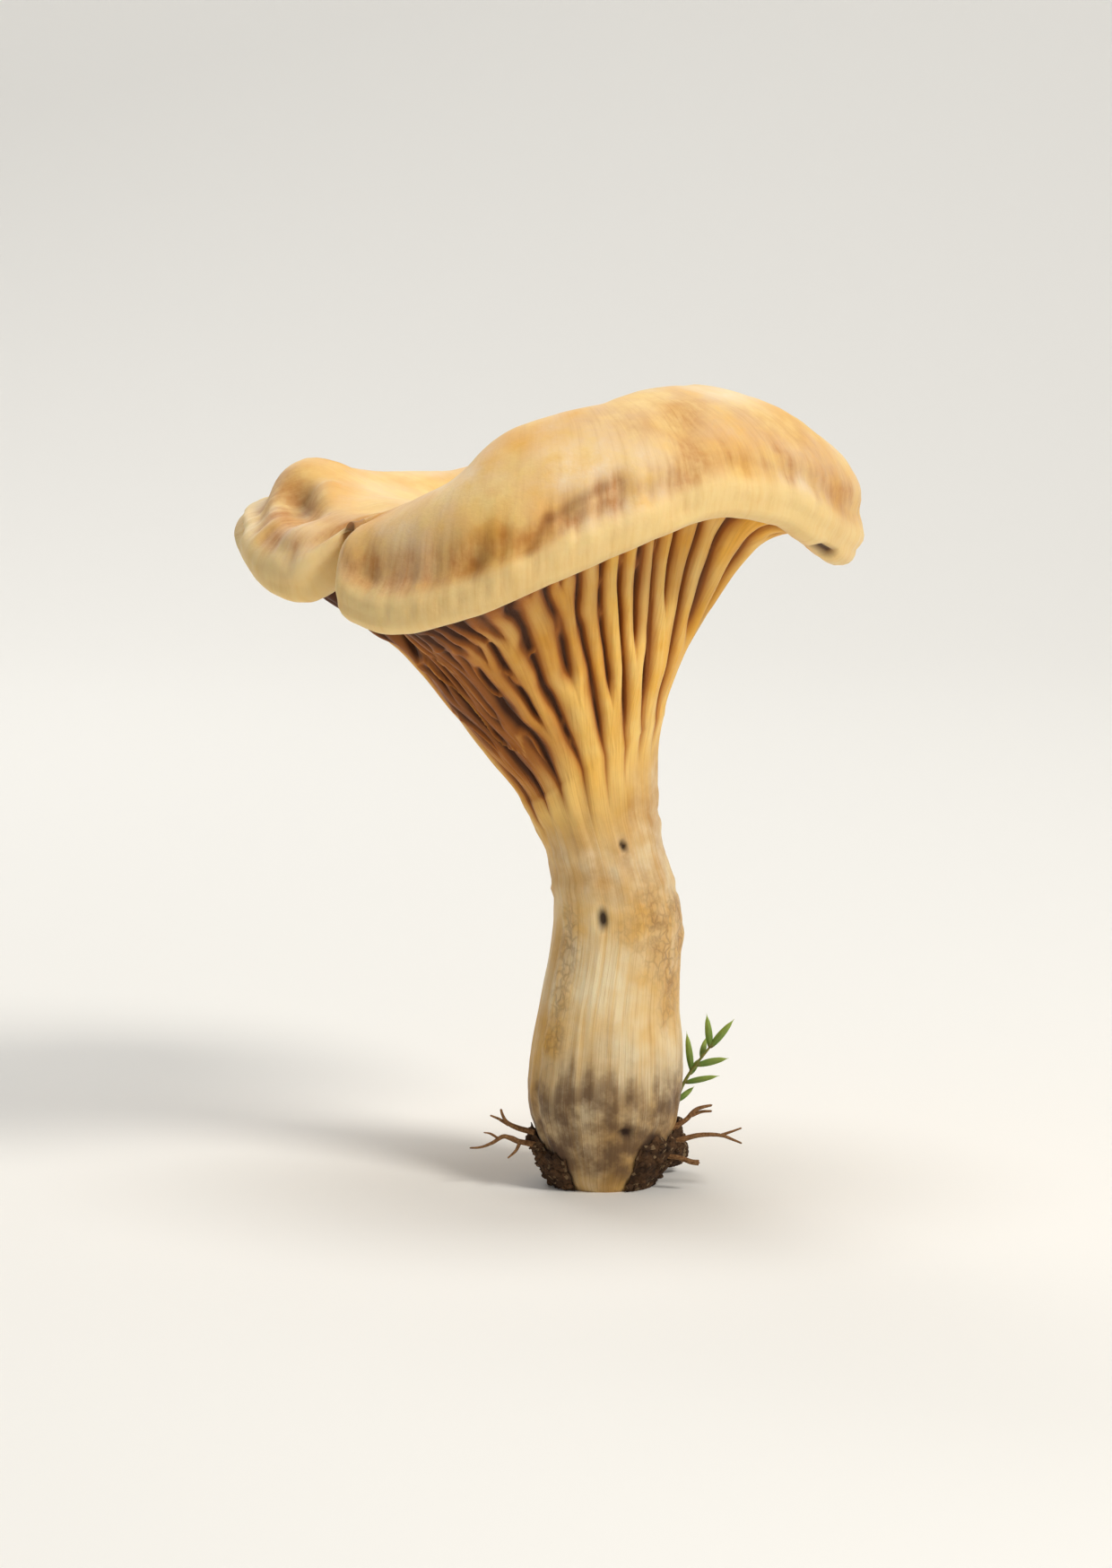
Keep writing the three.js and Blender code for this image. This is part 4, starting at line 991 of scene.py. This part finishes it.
def finishMaterial(tree, recipe, inputs, height=None):
    # relief too fine for the mesh, the shader and the output
    inputs = {**recipe["shading"], **inputs}
    if height is not None:
        strength, distance = recipe["bump"]
        inputs["Normal"] = addNode(tree, "ShaderNodeBump", {
            "Height": height, "Strength": strength, "Distance": distance}).outputs["Normal"]
    shader = addNode(tree, "ShaderNodeBsdfPrincipled", inputs)
    addNode(tree, "ShaderNodeOutputMaterial", {"Surface": shader.outputs["BSDF"]})


flesh = dict(
    colours=dict(
        capGold="#E6AC45", capPale="#F1CF85", whitish="#F8EACB", ochre="#B8742A", marginTone="#DB9532",
        # on the next line the two furrow browns are painted shade, the lighter one also streaking the crests,
        # and the pale rim colour is a painted highlight
        rimHighlight="#F3D596", crest="#F0B440", crestPale="#F7D07C", furrow="#4C2608", amberStreakAndFurrowShade="#B0661A",
        stemPale="#F4E2B8", stemGold="#E2B25C", stemFibre="#B98440", earth="#8F6B42", earthDark="#523A26",
        # the painted shade colours of the pits, the cleft and the cap's hollows
        pit="#2E1606", capHollowShade="#6E3510",
    ),
    # what each noise is read on, its size (in metres, or in steps of the grain), its octaves and roughness:
    # mottling about 9 mm across, blotches of 3 mm, suede of 0.45 mm, coarser than the real nap so that it
    # shows, and fibres that run with the growth, about 0.6 mm apart on the cap and finer on the stem
    noises=dict(
        mottle=("place", 9 * mm, 3, 0.55), blotch=("place", 3 * mm, 4, 0.6),
        suede=("place", 0.45 * mm, 3, 0.6),
        fibre=("grain", 0.625, 4, 0.62), broadFibre=("grain", 2.0, 2, 0.5),
    ),
    skins=dict(
        # pale gold, mottled, with a whitish bloom and fine ochre fibres; darker ochre as painted shade in its
        # hollows, behind the bead and in the rim's wrinkles, and as a darker tone in patches; a painted
        # highlight on the rim
        cap=("capGold", ("capPale", ("mottle", 0.35, 0.65)), ("marginTone", ("blotch", 0.4, 0.62, 0, 0.35)),
             ("whitish", ("bloom",), ("blotch", 0.3, 0.7, 0.2, 0.9)),
             ("ochre", ("ochre",), ("smudge", 0.36, 0.62, 0.25, 0.8)),
             ("ochre", ("fibre", 0.5, 0.72, 0, 0.1)),
             ("rimHighlight", ("rim",), ("fibre", 0.35, 0.7, 0.85, 0.55))),
        # yolk-yellow crests with amber streaks, and painted shade of amber and brown in the furrows, most on
        # the left side and under the rim
        under=("crest", ("crestPale", ("mottle", 0.35, 0.65)), ("amberStreakAndFurrowShade", ("fibre", 0.48, 0.7, 0, 0.3)),
               ("amberStreakAndFurrowShade", ("furrow", 0.12, 0.62)), ("furrow", ("furrow", 0.5, 0.98))),
        # pale and fibrous, stained with earth towards the foot, with brown cracks where it is scaly; its
        # darker fibre tone is wear where it is rough and painted shade towards the neck and down the left
        # edge
        stem=("stemPale", ("stemGold", ("mottle", 0.38, 0.66)),
              ("stemGold", ("broadFibre", 0.5, 0.68, 0, 0.4)), ("stemFibre", ("fibre", 0.5, 0.7, 0, 0.45)),
              ("stemFibre", ("ochre",), ("blotch", 0.3, 0.62, 0.25, 0.9)),
              ("earth", ("earth",), ("smudge", 0.38, 0.58, 0.55, 1)),
              ("earthDark", ("earth", 0.4, 1, 0, 0.9), ("blotch", 0.36, 0.6, 0.15, 1)),
              ("earth", ("crack", 0, 1, 0, 0.6))),
        # painted shade: near black in the pits, the cleft and the rim's hollow, brown in the cap's hollows
        hollow=("pit", ("capHollowShade", ("upper",)), ("pit", ("dark", 0.6, 1))),
        whole=("stem", ("under", ("under",)), ("cap", ("upper",)), ("hollow", ("dark", 0.1, 0.8, 0, 0.95))),
    ),
    scaleSize=1.0 * mm, scaleShape=(1.0, 1.0, 0.75), wobble=1.4 * mm, wobbleSize=1.2 * mm,
    cracks=(("scales", 0, 0.2, 1, 0), ("scaly",), ("blotch", 0.34, 0.56, 0.3, 1)),
    roughness=("blotch", 0.3, 0.7, 0.52, 0.68), smudge=0.65,
    bump=(0.35, 0.18 * mm), fibreBump=("upper", 0, 1, 0.8, 0.25), suedeBump=0.7, crackBump=-0.9,
    shading={
        "IOR": 1.42, "Specular IOR Level": 0.35, "Subsurface Weight": 0.16,
        "Subsurface Radius": (1.0, 0.55, 0.2), "Subsurface Scale": 0.0016, "Sheen Weight": 0.12,
        "Sheen Roughness": 0.5,
    },
)


def chanterelleFlesh():
    # fresh chanterelle flesh: dry, matte and finely fibrous like chamois, a little translucent where thin
    material, tree, read = startMaterial("freshChanterelleFlesh", (*fleshFacts, "grain"), flesh["noises"])
    smudge = addNode(tree, "ShaderNodeMix", {0: flesh["smudge"], 2: read["fibre"], 3: read["blotch"]})
    read["smudge"] = smudge.outputs[0]
    # worn places have split into ragged scales 1 mm across and a little longer, with cracks between them
    wobble = addNode(tree, "ShaderNodeTexNoise", {
        "Vector": read["place"], "Scale": 1 / flesh["wobbleSize"], "Detail": 3}).outputs["Color"]
    strayed = addNode(tree, "ShaderNodeVectorMath", {0: wobble, 1: [flesh["wobble"]] * 3, 2: read["place"]},
                      operation="MULTIPLY_ADD").outputs[0]
    longer = addNode(tree, "ShaderNodeVectorMath", {0: strayed, 1: flesh["scaleShape"]},
                     operation="MULTIPLY").outputs[0]
    scales = addNode(tree, "ShaderNodeTexVoronoi", {"Vector": longer, "Scale": 1 / flesh["scaleSize"]},
                     feature="DISTANCE_TO_EDGE")
    read["scales"] = scales.outputs["Distance"]
    read["crack"] = maskShare(tree, read, *flesh["cracks"])
    # suede on the cap, fibres on the stem, and the cracks
    height = 0.0
    fibreBump = maskShare(tree, read, flesh["fibreBump"])
    strengths = dict(suede=flesh["suedeBump"], fibre=fibreBump, crack=flesh["crackBump"])
    for reading, strength in strengths.items():
        height = addNode(tree, "ShaderNodeMath", {0: read[reading], 1: strength, 2: height},
                         operation="MULTIPLY_ADD").outputs[0]
    roughness = maskShare(tree, read, flesh["roughness"])
    finishMaterial(tree, flesh, {"Base Color": paintSkins(tree, read, flesh), "Roughness": roughness}, height)
    return material


humus = dict(
    colours=dict(dark="#33241A", brown="#64482F", grit="#9C8463", root="#6E4A2D", rootPale="#A67F55"),
    noises=dict(patches=("place", 1.6 * mm, 4, 0.65), fine=("place", 0.3 * mm, 3, 0.7)),
    skins=dict(
        earth=("dark", ("brown", ("patches", 0.35, 0.7)), ("grit", ("grey", 0.78, 0.84, 0, 0.55))),
        bark=("root", ("rootPale", ("fine", 0.35, 0.75))),
        whole=("earth", ("bark", ("root",))),
    ),
    grainSize=0.4 * mm, bump=(0.6, 0.0002), shading={"Roughness": 0.92, "Specular IOR Level": 0.2},
)


def forestSoil():
    # crumbly humus with brown rootlets: matte, no gloss, grains of different browns with pale grit
    material, tree, read = startMaterial("crumblyForestSoil", ("root",), humus["noises"])
    grains = addNode(tree, "ShaderNodeTexVoronoi", {"Vector": read["place"], "Scale": 1 / humus["grainSize"]})
    read["grey"] = addNode(tree, "ShaderNodeRGBToBW", {"Color": grains.outputs["Color"]}).outputs["Val"]
    finishMaterial(tree, humus, {"Base Color": paintSkins(tree, read, humus)}, read["fine"])
    return material


mossGreen = dict(
    colours=dict(base="#5E7A2A", tip="#A9B65A", rib="#8FA048", stalk="#7A5A2E"),
    noises=dict(cells=("place", 0.5 * mm, 3, 0.5)),
    skins=dict(whole=("stalk", ("base", ("leafShare", 0, 0.14)), ("tip", ("leafShare", 0.14, 1)),
                      ("rib", ("midrib", 0.86, 1, 0, 0.5)), ("base", ("cells", 0.35, 0.7, 0, 0.35)))),
    bump=(0.25, 0.0001),
    shading={"Roughness": 0.6, "Subsurface Weight": 0.25, "Subsurface Radius": (0.6, 1.0, 0.3),
             "Subsurface Scale": 0.0006},
)


def mossLeaves():
    # living moss leaves: thin, matte, light green with paler tips and midribs on a brownish stalk
    material, tree, read = startMaterial("livingMossLeaves", ("leafShare", "midrib"), mossGreen["noises"])
    finishMaterial(tree, mossGreen, {"Base Color": paintSkins(tree, read, mossGreen)}, read["cells"])
    return material


# ---- the studio

studio = dict(
    target=(-0.0052, 0.0, 0.0454), distance=0.58267, elevation=8.0, lens=120.0, sensor=36.0,
    front=-2.0, flatFrom=-0.5, flatTo=0.5, bend=0.5, wallHeight=2.5, halfWidth=3.0,
    floorReach=40.0, floorBelow=0.0005,
    paper="#EEECE7", shading={"Roughness": 0.9, "Specular IOR Level": 0.1},
    world="#FFFFFF", worldStrength=0.26,
    lamps=dict(
        key=dict(place=(0.41, -0.37, 0.54), aim=(-0.005, 0, 0.05), size=0.2, power=3.3, colour="#FFFBF4"),
        fill=dict(place=(-0.55, -0.55, 0.22), aim=(-0.005, 0, 0.05), size=0.6, power=0.2, colour="#EEF3FF"),
        rimLight=dict(place=(-0.25, 0.5, 0.45), aim=(-0.005, 0, 0.06), size=0.3, power=0.8, colour="#FFFFFF"),
        wallWash=dict(place=(0.0, 0.15, 1.5), aim=(0, 1.0, 0.35), size=0.9, power=9.0, colour="#FFFFFF"),
    ),
)


def paperSheet(name, points, faces, paper):
    # a sheet of the floor's paper
    mesh = bpy.data.meshes.new(name)
    mesh.from_pydata(points, [], faces)
    mesh.shade_smooth()
    mesh.materials.append(paper)
    return newObject(name, mesh)


def layFloor():
    # a sweep of pale paper: flat floor, quarter circle, wall
    paper, tree = startMaterial("matteWhitePaper")[:2]
    finishMaterial(tree, studio, {"Base Color": linear(studio["paper"])})
    bend, flatTo, wide = studio["bend"], studio["flatTo"], studio["halfWidth"]
    arc = np.linspace(0, np.pi / 2, 24)
    y = [studio["front"], studio["flatFrom"], *(flatTo + bend * np.sin(arc)), flatTo + bend]
    z = [0, 0, *(bend - bend * np.cos(arc)), studio["wallHeight"]]
    count = len(y)
    points = [(side, *place) for side in (-wide, wide) for place in zip(y, z)]
    faces = [(k, k + count, k + count + 1, k + 1) for k in range(count - 1)]
    sweep = paperSheet("paperSweep", points, faces, paper)
    # and a wider floor just below it, so that no edge shows from the other sides
    far, below = studio["floorReach"], studio["floorBelow"]
    corners = [(x, y, -below) for (x, y) in ((-far, -far), (far, -far), (far, far), (-far, far))]
    floor = paperSheet("widePaper", corners, [(0, 1, 2, 3)], paper)


def hangLights():
    # round lamps, each turned to the point that it aims at, and a dim pale world
    for name, facts in studio["lamps"].items():
        lamp = bpy.data.lights.new(name, "AREA")
        lamp.shape = "DISK"
        lamp.size = facts["size"]
        lamp.energy = facts["power"]
        lamp.color = linear(facts["colour"])[:3]
        light = newObject(name, lamp)
        light.location = facts["place"]
        light.rotation_euler = (Vector(facts["aim"]) - light.location).to_track_quat("-Z", "Y").to_euler()
    world = bpy.data.worlds.new("paleStudio")
    world.use_nodes = True
    sky = world.node_tree.nodes["Background"]
    sky.inputs["Color"].default_value = linear(studio["world"])
    sky.inputs["Strength"].default_value = studio["worldStrength"]
    bpy.context.scene.world = world
    bpy.context.scene.view_settings.view_transform = "Standard"


def placeCamera():
    # in front of the mushroom and a little above it, turned to the target
    lens = bpy.data.cameras.new("studioCamera")
    lens.lens = studio["lens"]
    lens.sensor_width = studio["sensor"]
    lens.sensor_fit = "AUTO"
    camera = newObject("studioCamera", lens)
    tilt = math.radians(studio["elevation"])
    away = studio["distance"] * Vector((0, -math.cos(tilt), math.sin(tilt)))
    camera.location = Vector(studio["target"]) + away
    camera.rotation_euler = (math.pi / 2 - tilt, 0, 0)
    bpy.context.scene.camera = camera


fruitBody(chanterelleFlesh())
soilMaterial = forestSoil()
soilPatch("soilCrustLeft", "soil_left", soilLeft, soilMaterial)
soilPatch("soilCrustRight", "soil_right", soilRight, soilMaterial, [clodOfSoil()])
mossSprig(mossLeaves())
layFloor()
hangLights()
placeCamera()
print("studio", len(studio["lamps"]), "lamps")
